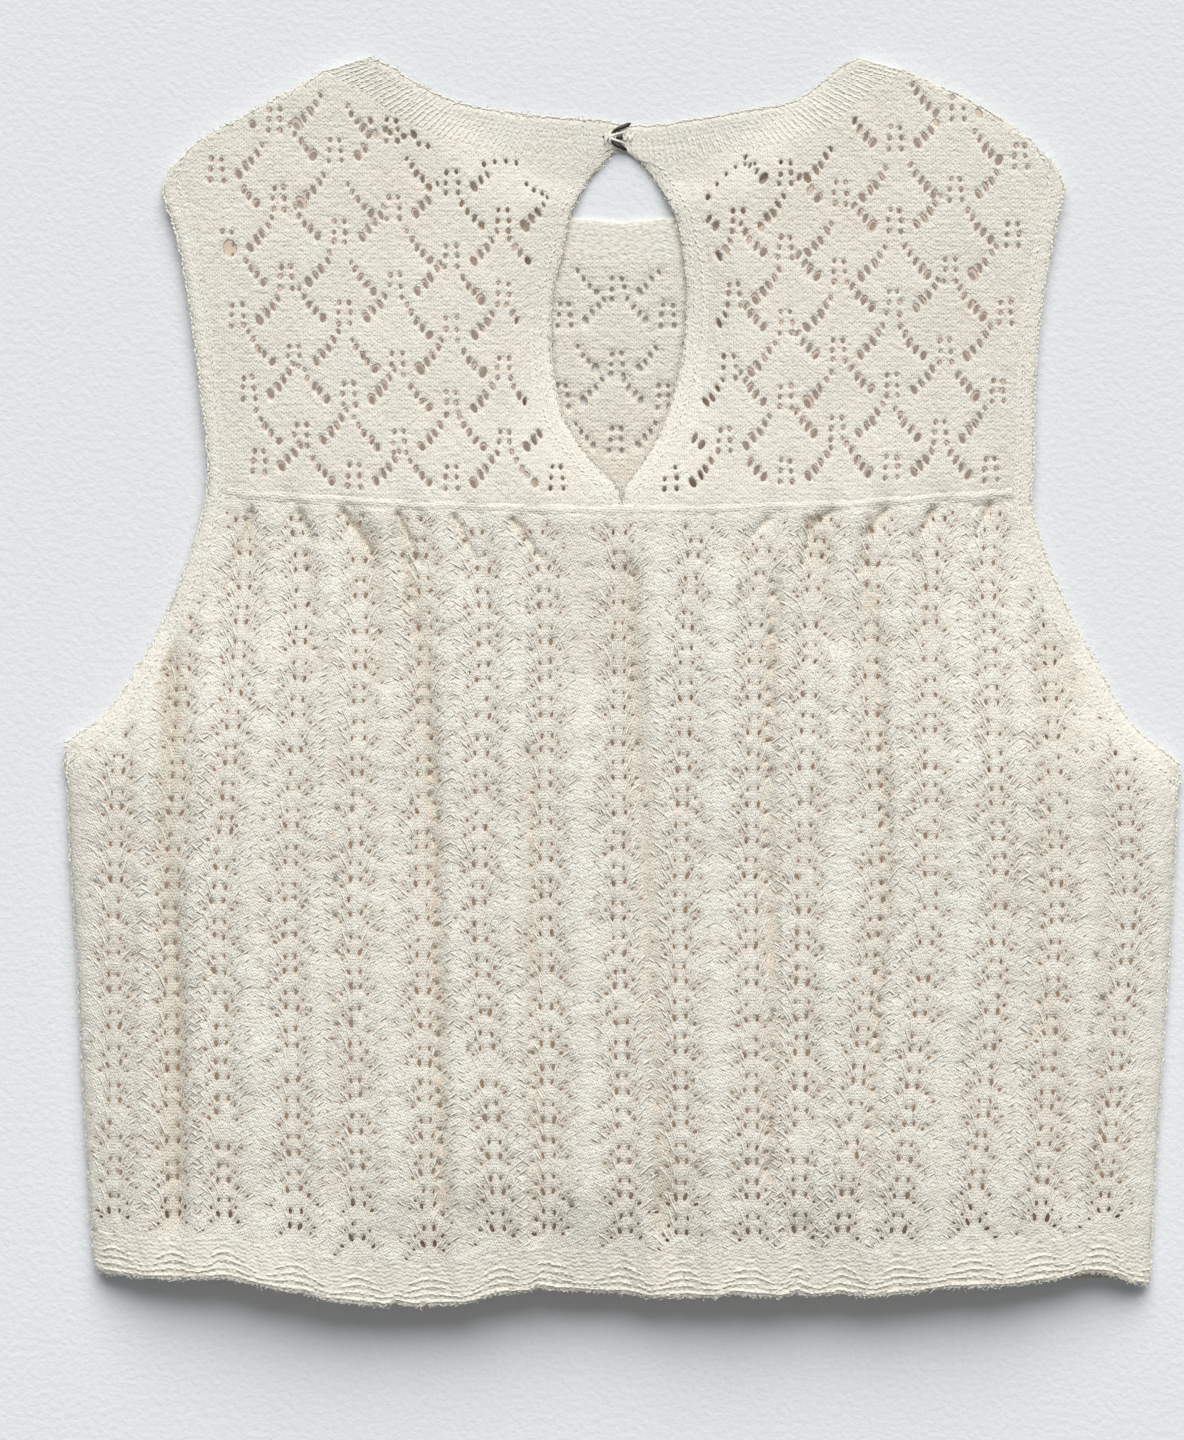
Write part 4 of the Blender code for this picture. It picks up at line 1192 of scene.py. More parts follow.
@dataclass
class DiamondLace:
    """Half-drop diamonds: a group of small eyelets at each foot, and slots down each edge."""

    seed: int = 4
    group_rows: tuple[float, ...] = (4.1, 0.1, -4.0)
    group_spread: tuple[float, ...] = (1.8, 2.2, 2.4)
    slots: tuple[tuple[float, float, float, float], ...] = (
        # out from the group, up from it, width and length, the largest first
        (8.5, -1.8, 2.3, 3.9),
        (11.2, 0.9, 1.70, 4.2),
        (13.5, 3.3, 1.70, 3.9),
        (15.6, 6.4, 1.50, 3.2),
        (17.3, 9.4, 1.25, 2.4),
    )
    slot_lean: float = 26.0

    def eyelets(self, columns: Sequence[LaceColumn]) -> list[Eyelet]:
        """All the eyelets of the given columns, each a little off its place."""
        rng = np.random.default_rng(self.seed)
        made = []
        for column in columns:
            for group in range(column.groups):
                y = column.first_y - group * column.pitch
                x = float(np.interp(y, (80.0, 200.0), (column.foot_x, column.top_x)))
                made += self.group(x, y, rng)
                for side in (-1, 1):
                    if side != column.outer:
                        made += self.diamond_edge(x, y, side, rng)
        return made

    @staticmethod
    def under_neckband(pattern: Pattern, side: Side) -> list[Eyelet]:
        """The short rows of eyelets under one half of the neckband."""
        made = []
        for x, y, width, length in NECK_EYELETS:
            if on_side(x, side):
                below = float(pattern.under_neckband(side, np.array([x]))[0]) - length / 2 - 0.5
                size = 0.62 if x > 0 else 1.0
                made.append(Eyelet(x, min(y, below), width * size, length * size,
                                   -12.0 if x > 0 else 12.0, 8, True))
        return made

    def group(self, x: float, y: float, rng: np.random.Generator) -> list[Eyelet]:
        """Six small eyelets in two columns."""
        made = []
        for rise, spread in zip(self.group_rows, self.group_spread):
            for side in (-1, 1):
                move, size = rng.normal(0.0, 0.22, 2), rng.uniform(0.8, 1.15)
                made.append(Eyelet(x + side * spread + move[0], y + rise + move[1],
                                   1.5 * size, 2.0 * size, side * 12.0, 8, True))
        return made

    def diamond_edge(
        self, x: float, y: float, side: int, rng: np.random.Generator
    ) -> list[Eyelet]:
        """The slots that run down to one flank of a group and grow on the way."""
        made = []
        slack = 20.0 if x < 0.0 and side < 0 else 5.0
        for index, (across, up, width, length) in enumerate(self.slots):
            move, size = rng.normal(0.0, 0.2, 2), rng.uniform(0.84, 1.06)
            lean = side * self.slot_lean * (0.5 if slack > 10.0 else 1.0) + rng.normal(0.0, slack)
            shorter = 0.82 if slack > 10.0 else 1.0
            if index == 0 and rng.random() < 0.22:
                size *= 1.35
            made.append(Eyelet(x + side * across + move[0], y + up + move[1], width * size,
                               length * size * shorter, lean, 12 if index == 0 else 8, True))
        return made


@dataclass
class FanLace:
    """Feather-and-fan columns: pairs of slots on each fold, and eyelets that step out and down.

    The yarn between them runs up and out from the column, square to the rows of eyelets.
    """

    drape: Drape
    repeat: float = 13.8
    above_border: float = 9.3
    below_seam: float = 2.6
    seed: int = 9

    # One repeat of the lace. For each eyelet: out from the column, up, width, length, turn, and
    # the share of the repeats in which it is open.
    EYELETS = (
        (2.2, 0.0, 1.55, 3.1, -14.0, 0.98),
        (5.4, -2.9, 1.30, 1.9, -55.0, 0.92),
        (8.9, -6.0, 0.90, 1.9, -68.0, 0.60),
        (7.2, -0.6, 0.90, 1.8, -62.0, 0.55),
        (4.6, 2.7, 1.15, 1.5, -30.0, 0.85),
        (2.0, 5.6, 1.25, 2.4, -8.0, 0.92),
        (10.6, 1.7, 0.80, 1.6, -70.0, 0.40),
    )

    # The yarn of one repeat. For each leg: out from the column, up, lean from upright and length.
    LEGS = (
        (0.75, 3.0, 5.0, 3.4), (0.75, 10.0, 5.0, 3.6), (3.9, -0.6, 24.0, 3.4),
        (7.3, -3.6, 46.0, 3.4), (10.8, -5.6, 56.0, 3.4), (5.9, 0.6, 36.0, 3.2),
        (9.6, -1.8, 54.0, 3.4), (3.3, 4.3, 18.0, 3.0), (6.8, 3.2, 40.0, 3.6),
        (10.2, 1.4, 54.0, 3.4), (4.2, 6.6, 22.0, 3.6), (7.4, 6.2, 44.0, 3.4),
        (10.6, 4.6, 54.0, 3.2), (2.6, 9.6, 12.0, 3.6), (5.6, 8.9, 30.0, 3.0),
    )

    def eyelets(self, top: Field, bottom: Field, plain: bool = False) -> list[Eyelet]:
        """All the eyelets of the body.

        Args:
            top: level of the upper edge of the lace at each x.
            bottom: level of its lower edge.
            plain: leaves out the smallest eyelets, for the side that is turned down.

        Returns:
            The eyelets, column by column.
        """
        rng = np.random.default_rng(self.seed)
        made = []
        for x, y in self.repeats(top, bottom):
            highest = float(top(np.array([x]), np.array([0.0]))[0]) - self.below_seam
            looser = np.interp(y, (-200.0, 0.0), (1.08, 0.86))
            for side in (-1, 1):
                for out, up, width, length, turn, kept in self.EYELETS:
                    if rng.random() > kept or y + up > highest or (plain and width < 1.0):
                        continue
                    move, size = rng.normal(0.0, 0.26, 2), looser * rng.uniform(0.70, 1.10)
                    at = self.drape.columns(np.array([y + up]))[self.nearest(x, y), 0]
                    made.append(Eyelet(float(at) + side * out + move[0], y + up + move[1],
                                       width * size, length * size * rng.uniform(0.85, 1.15),
                                       side * turn + rng.normal(0.0, 9.0),
                                       6 if width > 0.95 else 5, False))
        return made

    def nearest(self, x: float, y: float) -> int:
        """Number of the column that a place belongs to."""
        return int(np.argmin(abs(self.drape.columns(np.array([y]))[:, 0] - x)))

    def repeats(self, top: Field, bottom: Field) -> list[tuple[float, float]]:
        """The middle of the lowest pair of slots of every repeat, from the border up."""
        rng = np.random.default_rng(self.seed + 100)
        found = []
        for index in range(len(FOLDS)):
            x = self.drape.columns(np.array([-200.0]))[index, 0]
            y = float(bottom(np.array([x]), np.array([0.0]))[0]) + self.above_border
            y += rng.uniform(-0.8, 0.8)
            height = self.repeat * rng.uniform(0.96, 1.03)
            while True:
                x = float(self.drape.columns(np.array([y]))[index, 0])
                if y > float(top(np.array([x]), np.array([0.0]))[0]) + 1.0:
                    break
                found.append((x, y))
                y += height + rng.normal(0.0, 0.25)
        return found


# Making pieces

@dataclass
class Knitter:
    """Turns outlines in plan into closed walls of knitting.

    The upper and the lower face meet at half the wall round the outline and every eyelet, so
    that all edges are soft.
    """

    wall: float = 2.0
    wale: float = 1.9
    course: float = 1.65
    reach: float = 0.8       # how far to each side the slope of a face is measured
    bridge: float = 0.28     # the least knitting between two eyelets
    edge_room: float = 0.8    # and between an eyelet and the outline
    lip: float = 0.5         # how far outside an eyelet its raised lip lies
    inner_shade_and_glow: float = 0.95    # share of the painted inner shade round an eyelet's lower edge, where it also glows as painted light
    eyelet_rim_shade: float = 0.42    # and round its upper edge, with painted fold shade beside it
    eyelet_shade: float = 0.14

    def placed(self, plan: Array, height: Field, lift: Array) -> Array:
        """Points of a plan put on a face and moved square to it.

        Args:
            plan: rows of x and y.
            height: height of the face.
            lift: distance of each point above the face.

        Returns:
            Rows of x, y and z.
        """
        (x, y), step = plan.T, self.reach
        slope_x = (height(x + step, y) - height(x - step, y)) / (2 * step)
        slope_y = (height(x, y + step) - height(x, y - step)) / (2 * step)
        normal = unit(np.column_stack([-slope_x, -slope_y, np.ones(len(x))]))
        return np.column_stack([x, y, height(x, y)]) + normal * lift[:, None]

    @staticmethod
    def rim(eyelet: Eyelet, spare: float) -> Array:
        """The edge of an eyelet, or a line a little outside it."""
        angles = (np.arange(eyelet.sides) + 0.5) * TAU / eyelet.sides
        local = np.column_stack([(eyelet.width / 2 + spare) * np.cos(angles),
                                 (eyelet.length / 2 + spare) * np.sin(angles)])
        turn = math.radians(eyelet.turn)
        cos, sin = math.cos(turn), math.sin(turn)
        return np.column_stack([eyelet.x + local[:, 0] * cos - local[:, 1] * sin,
                                eyelet.y + local[:, 0] * sin + local[:, 1] * cos])

    @staticmethod
    def clear(points: Array, eyelets: Sequence[Eyelet], spare: float,
              own: Array | None = None) -> Array:
        """Whether each point is clear of every eyelet by a distance, its own left out."""
        if not eyelets:
            return np.ones(len(points), bool)
        tree = kdtree.KDTree(len(eyelets))
        for index, eyelet in enumerate(eyelets):
            tree.insert((eyelet.x, eyelet.y, 0.0), index)
        tree.balance()
        result = np.ones(len(points), bool)
        for place, (x, y) in enumerate(points):
            for _, index, away in tree.find_n((x, y, 0.0), 5):
                if away > 5.5 or (own is not None and own[place] == index):
                    continue
                hole = eyelets[index]
                turn = math.radians(hole.turn)
                dx, dy = x - hole.x, y - hole.y
                across = (dx * math.cos(turn) + dy * math.sin(turn)) / (hole.width / 2 + spare)
                along = (dy * math.cos(turn) - dx * math.sin(turn)) / (hole.length / 2 + spare)
                if across * across + along * along < 1.0:
                    result[place] = False
                    break
        return result

    def fitting(self, loop: Array, eyelets: Sequence[Eyelet], margin: float) -> list[Eyelet]:
        """The eyelets that lie well inside an outline and clear of each other."""
        if not eyelets:
            return []
        centres = np.array([(eyelet.x, eyelet.y) for eyelet in eyelets])
        room = depth_inside(loop, centres)
        inside = [eyelet for eyelet, depth in zip(eyelets, room)
                  if depth > max(eyelet.width, eyelet.length) / 2 + margin]
        inside.sort(key=lambda eyelet: -eyelet.width * eyelet.length)
        rims = np.vstack([self.rim(eyelet, 0.0) for eyelet in inside])
        own = np.repeat(np.arange(len(inside)), [eyelet.sides for eyelet in inside])
        free = self.clear(rims, inside, self.bridge, own)
        blocked = set(own[~free].tolist())
        kept = [eyelet for index, eyelet in enumerate(inside) if index not in blocked]
        rest = [inside[index] for index in sorted(blocked)]
        for eyelet in rest:
            if self.clear(self.rim(eyelet, 0.0), kept, self.bridge).all() and self.clear(
                    np.array([[eyelet.x, eyelet.y]]), kept, eyelet.width / 2).all():
                kept.append(eyelet)
        return kept

    def panel(
        self,
        name: str,
        loop: Array,
        height: Field,
        eyelets: Sequence[Eyelet],
        points: Array,
        relief: Field,
        painted_shade: Field,
        chart: Chart,
        edge_drop: Field | None = None,
        inner: Field | None = None,
        under: float = 0.45,
    ) -> bpy.types.Object:
        """A panel of lace or plain knitting as one closed mesh.

        Args:
            name: name of the piece.
            loop: its outline, anticlockwise.
            height: height of its upper face.
            eyelets: its holes.
            points: places inside the outline that carry its shape.
            relief: how far the stitches rise above the face.
            painted_shade: how far down a fold each place lies, from 0 to 1, painted as shade.
            chart: count of wales and courses at each place.
            edge_drop: how far the outline lies below the upper face; half the wall if left out.
            inner: share of the painted inner shade and glow on the upper face.
            under: share of it on the lower face.

        Returns:
            The piece as an object.
        """
        eyelets = self.fitting(loop, eyelets, self.edge_room)
        rims = [self.rim(eyelet, 0.0) for eyelet in eyelets]
        fixed = np.vstack([loop] + rims)
        sides = [len(loop)] + [len(rim) for rim in rims]
        starts = np.concatenate([[0], np.cumsum(sides)])
        edges = [(int(start + i), int(start + (i + 1) % count))
                 for start, count in zip(starts, sides) for i in range(count)]
        owner = np.repeat(np.arange(len(sides)), sides)
        lips = [index for index, eyelet in enumerate(eyelets) if eyelet.lipped]
        free = np.vstack([drawn_in(loop, 0.7), drawn_in(loop, 1.8)[::2], points])
        free = free[self.clear(free, eyelets, 0.75)]
        if lips:
            ring = np.vstack([self.rim(eyelets[index], self.lip) for index in lips])
            own = np.repeat(lips, [eyelets[index].sides for index in lips])
            ring = ring[self.clear(ring, eyelets, 0.22, own)]
            free = np.vstack([free, ring])
        free = free[depth_inside(loop, free) > 0.3]
        upper_plan, upper_faces = self.triangulated(fixed, free, edges, owner)
        lower_plan, lower_faces = self.triangulated(fixed, free[::5], edges, owner)
        shared = len(fixed)
        lipped = np.array([True] + [eyelet.lipped for eyelet in eyelets])
        drop = np.where(lipped[owner], self.wall * 0.28, self.wall * 0.15)
        if edge_drop is not None:
            drop[:len(loop)] = edge_drop(*loop.T)
        x, y = upper_plan.T
        lift = relief(x, y)
        lift[:shared] -= drop
        upper = self.placed(upper_plan, height, lift)
        sink = np.full(len(lower_plan), self.wall)
        sink[:shared] = np.minimum(drop + self.wall * 0.3, self.wall)
        lower = self.placed(lower_plan, height, -sink)
        vertices = np.vstack([upper, lower])
        ahead = np.concatenate([np.roll(np.arange(start, start + count), -1)
                                for start, count in zip(starts, sides)])
        here = np.arange(shared)
        wall = np.vstack([np.column_stack([ahead, here, here + len(upper)]),
                          np.column_stack([ahead, here + len(upper), ahead + len(upper)])])
        round_hole = wall.min(axis=1) >= len(loop)
        wall[round_hole] = wall[round_hole][:, ::-1]
        faces = np.vstack([upper_faces, lower_faces[:, ::-1] + len(upper), wall])
        plan = np.vstack([upper_plan, lower_plan])
        stitches = np.column_stack(chart(*plan.T))
        # Painted fold shade, and painted inner shade and glow on the lower face and round the
        # eyelets
        painted_share = np.clip(painted_shade(*plan.T), 0.0, 1.0)
        painted_inner_share = np.full(len(plan), under)
        painted_inner_share[:len(upper)] = 0.0 if inner is None else inner(x, y)
        holed = slice(len(loop), shared)
        painted_inner_share[holed] = np.maximum(painted_inner_share[holed], self.eyelet_rim_shade)
        painted_inner_share[len(upper) + len(loop):len(upper) + shared] = self.inner_shade_and_glow
        painted_share[holed] = np.maximum(painted_share[holed], self.eyelet_shade)
        return knit_mesh(name, vertices, faces, stitches, painted_share, painted_inner_share)

    @staticmethod
    def triangulated(fixed: Array, free: Array, edges: list[tuple[int, int]],
                     owner: Array) -> tuple[Array, Array]:
        """Triangles over a plan, with none inside the eyelets.

        Args:
            fixed: points of the outline and of the eyelets.
            free: further points inside.
            edges: the sides of the outline and of the eyelets.
            owner: number of the loop that each fixed point belongs to; 0 is the outline.

        Returns:
            The plan, with the fixed points first, and its triangles facing up.
        """
        points = [Vector(point) for point in np.vstack([fixed, free])]
        plan, _, triangles, origins, _, _ = geometry.delaunay_2d_cdt(points, edges, [], 1, 1e-6)
        plan = np.array([tuple(point) for point in plan])
        triangles = np.array([tuple(triangle) for triangle in triangles])
        order = np.array([origin[0] if origin else len(points) for origin in origins])
        rank = np.argsort(order, kind="stable")
        back = np.empty(len(rank), int)
        back[rank] = np.arange(len(rank))
        plan, triangles = plan[rank], back[triangles]
        loops = np.full(len(plan), -1)
        loops[:len(owner)] = owner
        at = loops[triangles]
        hole = (at[:, 0] > 0) & (at[:, 0] == at[:, 1]) & (at[:, 1] == at[:, 2])
        triangles = triangles[~hole]
        a, b, c = (plan[triangles[:, i]] for i in range(3))
        turn = (b[:, 0] - a[:, 0]) * (c[:, 1] - a[:, 1]) - (b[:, 1] - a[:, 1]) * (c[:, 0] - a[:, 0])
        triangles[turn < 0] = triangles[turn < 0][:, ::-1]
        return plan, triangles

    def band(
        self,
        name: str,
        outer: Array,
        inner: Array,
        height: Field,
        profile: Profile,
        rows: int,
        wall: float,
        chart: Chart,
        painted_shade: Profile | None = None,
        drops: tuple[float, Array | float] = (1.0, 0.5),
        tones: tuple[float, float] = (0.0, 0.45),
        edge_shade_and_glow: float = 0.0,
    ) -> bpy.types.Object:
        """A narrow band between two edges as one closed mesh.

        Args:
            name: name of the piece.
            outer: its outer edge.
            inner: its other edge, with as many points.
            height: height of its upper face.
            profile: rise at a distance along, a share across and a place in plan.
            rows: rows of faces across.
            wall: its thickness.
            chart: count of wales and courses at a distance along and a distance across.
            painted_shade: depth of painted shade at the same.
            drops: how far the outer and the inner edge lie below the upper face.
            tones: share of the painted inner shade and glow on the upper and on the lower face.
            edge_shade_and_glow: share of it on the very edge, where the cloth is thin; a high share
                makes the edge glow, a painted light that lifts its shade.

        Returns:
            The piece as an object.
        """
        count = len(outer)
        ends = np.array([0.0, 0.15, 0.5]) / rows
        shares = np.concatenate([ends, np.arange(1, rows) / rows, 1 - ends[::-1]])
        across = len(shares)
        along = distances(outer)
        upper_plan = outer[:, None, :] + (inner - outer)[:, None, :] * shares[None, :, None]
        s = np.repeat(along, across)
        t = np.tile(shares, count)
        plan = upper_plan.reshape(-1, 2)
        lift = profile(s, t, plan)
        width = spans(inner - outer)
        wide = np.repeat(width, across)
        falls = [np.repeat(np.broadcast_to(drop, count), across) for drop in drops]
        for fall, share in zip(falls, (t, 1 - t)):
            lift = lift - np.where(fall < 0.5, 0.05, 0.4 * fall) * np.exp(
                -(share * wide / np.where(fall < 0.5, 0.55, 0.85)) ** 2)
        lift = np.where(t == 0.0, -falls[0], np.where(t == 1.0, -falls[1], lift))
        upper = self.placed(plan, height, lift)
        lower_plan = upper_plan[:, 1:-1].reshape(-1, 2)
        lower = self.placed(lower_plan, height, np.full(len(lower_plan), -wall))
        top = np.arange(count * across).reshape(count, across)
        low = np.hstack([top[:, [0]], len(upper) + np.arange(len(lower)).reshape(count, -1),
                         top[:, [-1]]])
        faces = np.vstack([grid_faces(np.hstack([top, low[:, -2:0:-1]]), True),
                           grid_faces(np.vstack([low[0], top[0]]), False),
                           grid_faces(np.vstack([top[-1], low[-1]]), False)])
        faces = faces[(faces[:, 0] != faces[:, 1]) & (faces[:, 1] != faces[:, 2])
                      & (faces[:, 0] != faces[:, 2])]
        vertices = np.vstack([upper, lower])
        s_all = np.concatenate([s, np.repeat(along, across - 2)])
        t_all = np.concatenate([t, np.tile(shares[1:-1], count)])
        wide_all = np.concatenate([wide, np.repeat(width, across - 2)])
        stitches = np.column_stack(chart(s_all, t_all * wide_all))
        plan_all = np.vstack([plan, lower_plan])
        painted_share = np.zeros(len(vertices)) if painted_shade is None else painted_shade(s_all, t_all, plan_all)
        # Painted inner shade and glow: the upper face, the lower face and the thin edges each get a
        # share
        painted_inner_share = np.full(len(vertices), tones[1])
        painted_inner_share[:len(upper)] = tones[0]
        if edge_shade_and_glow > 0.0:
            thin = np.zeros(len(vertices), bool)
            thin[:len(upper)] = ((t == 0.0) & (falls[0] > 0.5)) | ((t == 1.0) & (falls[1] > 0.5))
            painted_inner_share[thin] = edge_shade_and_glow
        if signed_volume(vertices, faces) < 0:
            faces = faces[:, ::-1]
        return knit_mesh(name, vertices, faces, stitches, np.clip(painted_share, 0.0, 1.0), painted_inner_share)


def signed_volume(vertices: Array, faces: Array) -> float:
    """Volume inside a closed mesh, negative where it is inside out."""
    a, b, c = (vertices[faces[:, i]] for i in range(3))
    return float((a * np.cross(b, c)).sum() / 6)


def grid_faces(grid: Array, round_again: bool) -> Array:
    """Triangles over rows of vertex numbers, joined round where asked."""
    ahead = np.roll(grid, -1, axis=1) if round_again else grid[:, 1:]
    here = grid if round_again else grid[:, :-1]
    a, b, c, d = here[:-1], ahead[:-1], ahead[1:], here[1:]
    first = np.stack([a, b, c], axis=-1).reshape(-1, 3)
    second = np.stack([a, c, d], axis=-1).reshape(-1, 3)
    return np.vstack([first, second])


def linked(name: str, data: bpy.types.ID) -> bpy.types.Object:
    """A new object in the scene."""
    made = bpy.data.objects.new(name, data)
    bpy.context.scene.collection.objects.link(made)
    return made


def knit_mesh(name: str, vertices: Array, faces: Array, stitches: Array, painted_shade: Array,
              inside: Array) -> bpy.types.Object:
    """A mesh that carries its stitch map, its painted shade and its painted glow.

    Args:
        name: name of the piece.
        vertices: rows of x, y and z in millimetres.
        faces: triangles.
        stitches: count of wales and courses at each vertex.
        painted_shade: depth of painted shade at each vertex.
        inside: share of the painted inner shade and glow at each vertex.

    Returns:
        The piece as an object.
    """
    mesh = bpy.data.meshes.new(name)
    mesh.vertices.add(len(vertices))
    mesh.vertices.foreach_set("co", (vertices * MM).astype(np.float32).ravel())
    mesh.loops.add(3 * len(faces))
    mesh.loops.foreach_set("vertex_index", faces.astype(np.int32).ravel())
    mesh.polygons.add(len(faces))
    mesh.polygons.foreach_set("loop_start", np.arange(0, 3 * len(faces), 3, dtype=np.int32))
    mesh.polygons.foreach_set("use_smooth", np.ones(len(faces), bool))
    mesh.update(calc_edges=True)
    layer = mesh.uv_layers.new(name="stitches")
    layer.data.foreach_set("uv", stitches[faces.ravel()].astype(np.float32).ravel())
    for key, values in (("painted_shade", painted_shade), ("inside", inside)):
        attribute = mesh.attributes.new(key, "FLOAT", "POINT")
        attribute.data.foreach_set("value", values.astype(np.float32))
    mesh.validate()
    mesh.set_sharp_from_angle(angle=math.radians(66.0))
    return linked(name, mesh)


@dataclass
class Strand:
    """Where lengths of yarn lie: a point, a direction, a normal and a size for each."""

    points: list[Array] = field(default_factory=list)
    turns: list[Array] = field(default_factory=list)
    sizes: list[Array] = field(default_factory=list)

    def lay(self, middles: Array, along: Array, normal: Array, sizes: Array) -> None:
        """Adds lengths of yarn.

        Args:
            middles: rows of x, y and z, in millimetres.
            along: direction of each length.
            normal: direction away from the cloth.
            sizes: width, length and height of each, in millimetres.
        """
        along = unit(along)
        across = unit(np.cross(along, normal))
        up = np.cross(across, along)
        self.points.append(middles * MM)
        self.turns.append(np.column_stack([np.arctan2(along[:, 2], up[:, 2]),
                                           np.arcsin(-across[:, 2]),
                                           heading(across)]))
        self.sizes.append(sizes * MM)


@dataclass
class YarnTree:
    """Geometry Nodes tree that lays a curved length of yarn at every vertex of a mesh.

    Each vertex carries turn and size. The yarn runs along its own Y from -0.5 to 0.5, thins
    towards its ends, and bows up and sideways.
    """

    name: str = "yarn_lengths"
    sides: int = 6
    segments: int = 5
    bow: float = 0.3
    curl: float = 0.0
    thin: float = 0.75
    uneven: float = 0.12
    seed: int = 11

    INPUTS = ("Sides", "Segments", "Bow", "Curl", "Thinning", "Unevenness", "Seed", "Finish")

    def build(self) -> bpy.types.NodeTree:
        """The tree, with a named input for each size."""
        tree = bpy.data.node_groups.new(self.name, "GeometryNodeTree")
        face = tree.interface
        face.new_socket("Geometry", in_out="INPUT", socket_type="NodeSocketGeometry")
        kinds = ("Int", "Int", "Float", "Float", "Float", "Float", "Int", "Material")
        for label, kind in zip(self.INPUTS, kinds):
            face.new_socket(label, in_out="INPUT", socket_type="NodeSocket" + kind)
        face.new_socket("Geometry", in_out="OUTPUT", socket_type="NodeSocketGeometry")
        nodes = Nodes(tree)
        given = nodes.add("NodeGroupInput").outputs
        line = nodes.fed("GeometryNodeCurvePrimitiveLine", {"Start": (0.0, -0.5, 0.0),
                                                            "End": (0.0, 0.5, 0.0)})
        points = nodes.fed("GeometryNodeResampleCurve", {"Curve": line.outputs[0],
                                                         "Count": given["Segments"]})
        share = nodes.add("GeometryNodeSplineParameter").outputs["Factor"]
        swing = nodes.math("SUBTRACT", nodes.math("MULTIPLY", share, 2.0), 1.0)
        arch = nodes.math("SUBTRACT", 1.0, nodes.math("MULTIPLY", swing, swing))
        offset = nodes.fed("ShaderNodeCombineXYZ", {
            0: nodes.math("MULTIPLY", arch, given["Curl"]),
            2: nodes.math("MULTIPLY", arch, given["Bow"])})
        bent = nodes.fed("GeometryNodeSetPosition", {"Geometry": points.outputs[0],
                                                     "Offset": offset.outputs[0]})
        lost = nodes.math("MULTIPLY", given["Thinning"], nodes.math("SUBTRACT", 1.0, arch))
        radius = nodes.math("MULTIPLY", nodes.math("SUBTRACT", 1.0, lost), 0.5)
        sized = nodes.fed("GeometryNodeSetCurveRadius", {"Curve": bent.outputs[0],
                                                         "Radius": radius})
        ring = nodes.fed("GeometryNodeCurvePrimitiveCircle", {"Resolution": given["Sides"],
                                                              "Radius": 1.0})
        tube = nodes.fed("GeometryNodeCurveToMesh", {
            "Curve": sized.outputs[0], "Profile Curve": ring.outputs[0], "Fill Caps": True})
        if "Scale" in tube.inputs:
            nodes.link(nodes.add("GeometryNodeInputRadius").outputs[0], tube.inputs["Scale"])
        jitter = nodes.fed("FunctionNodeRandomValue", {
            "Min": nodes.math("SUBTRACT", 1.0, given["Unevenness"]),
            "Max": nodes.math("ADD", 1.0, given["Unevenness"]),
            "Seed": given["Seed"]}, data_type="FLOAT_VECTOR")
        size = nodes.fed("ShaderNodeVectorMath", {0: self.carried(nodes, "size"),
                                                  1: jitter.outputs["Value"]},
                         operation="MULTIPLY")
        turned = nodes.fed("FunctionNodeEulerToRotation", {0: self.carried(nodes, "turn")})
        laid = nodes.fed("GeometryNodeInstanceOnPoints", {
            "Points": given["Geometry"], "Instance": tube.outputs[0],
            "Rotation": turned.outputs[0], "Scale": size.outputs[0]})
        smooth = nodes.fed("GeometryNodeSetShadeSmooth", {0: laid.outputs[0]})
        real = nodes.fed("GeometryNodeRealizeInstances", {0: smooth.outputs[0]})
        dressed = nodes.fed("GeometryNodeSetMaterial", {"Geometry": real.outputs[0],
                                                        "Material": given["Finish"]})
        nodes.fed("NodeGroupOutput", {0: dressed.outputs[0]})
        return tree

    @staticmethod
    def carried(nodes: Nodes, name: str) -> bpy.types.NodeSocket:
        """A vector that each vertex carries."""
        node = nodes.add("GeometryNodeInputNamedAttribute", data_type="FLOAT_VECTOR")
        node.inputs["Name"].default_value = name
        return node.outputs["Attribute"]

    def lay(self, name: str, strand: Strand, finish: bpy.types.Material) -> bpy.types.Object:
        """The lengths of yarn as one plain mesh.

        Args:
            name: name of the piece.
            strand: where the lengths lie.
            finish: their material.

        Returns:
            The piece as an object.
        """
        mesh = bpy.data.meshes.new(name + "_places")
        mesh.from_pydata(np.vstack(strand.points).tolist(), [], [])
        for key, rows in (("turn", strand.turns), ("size", strand.sizes)):
            attribute = mesh.attributes.new(key, "FLOAT_VECTOR", "POINT")
            attribute.data.foreach_set("vector", np.vstack(rows).astype(np.float32).ravel())
        host = linked(name + "_places", mesh)
        tree = self.build()
        modifier = host.modifiers.new("yarn", "NODES")
        modifier.node_group = tree
        values = (self.sides, self.segments, self.bow, self.curl, self.thin, self.uneven,
                  self.seed, finish)
        sockets = {item.name: item.identifier for item in tree.interface.items_tree
                   if item.in_out == "INPUT"}
        for label, value in zip(self.INPUTS, values):
            modifier[sockets[label]] = value
        graph = bpy.context.evaluated_depsgraph_get()
        made = bpy.data.meshes.new_from_object(host.evaluated_get(graph))
        made.name = name
        bpy.data.objects.remove(host)
        bpy.data.node_groups.remove(tree)
        return linked(name, made)


# Sub-assemblies

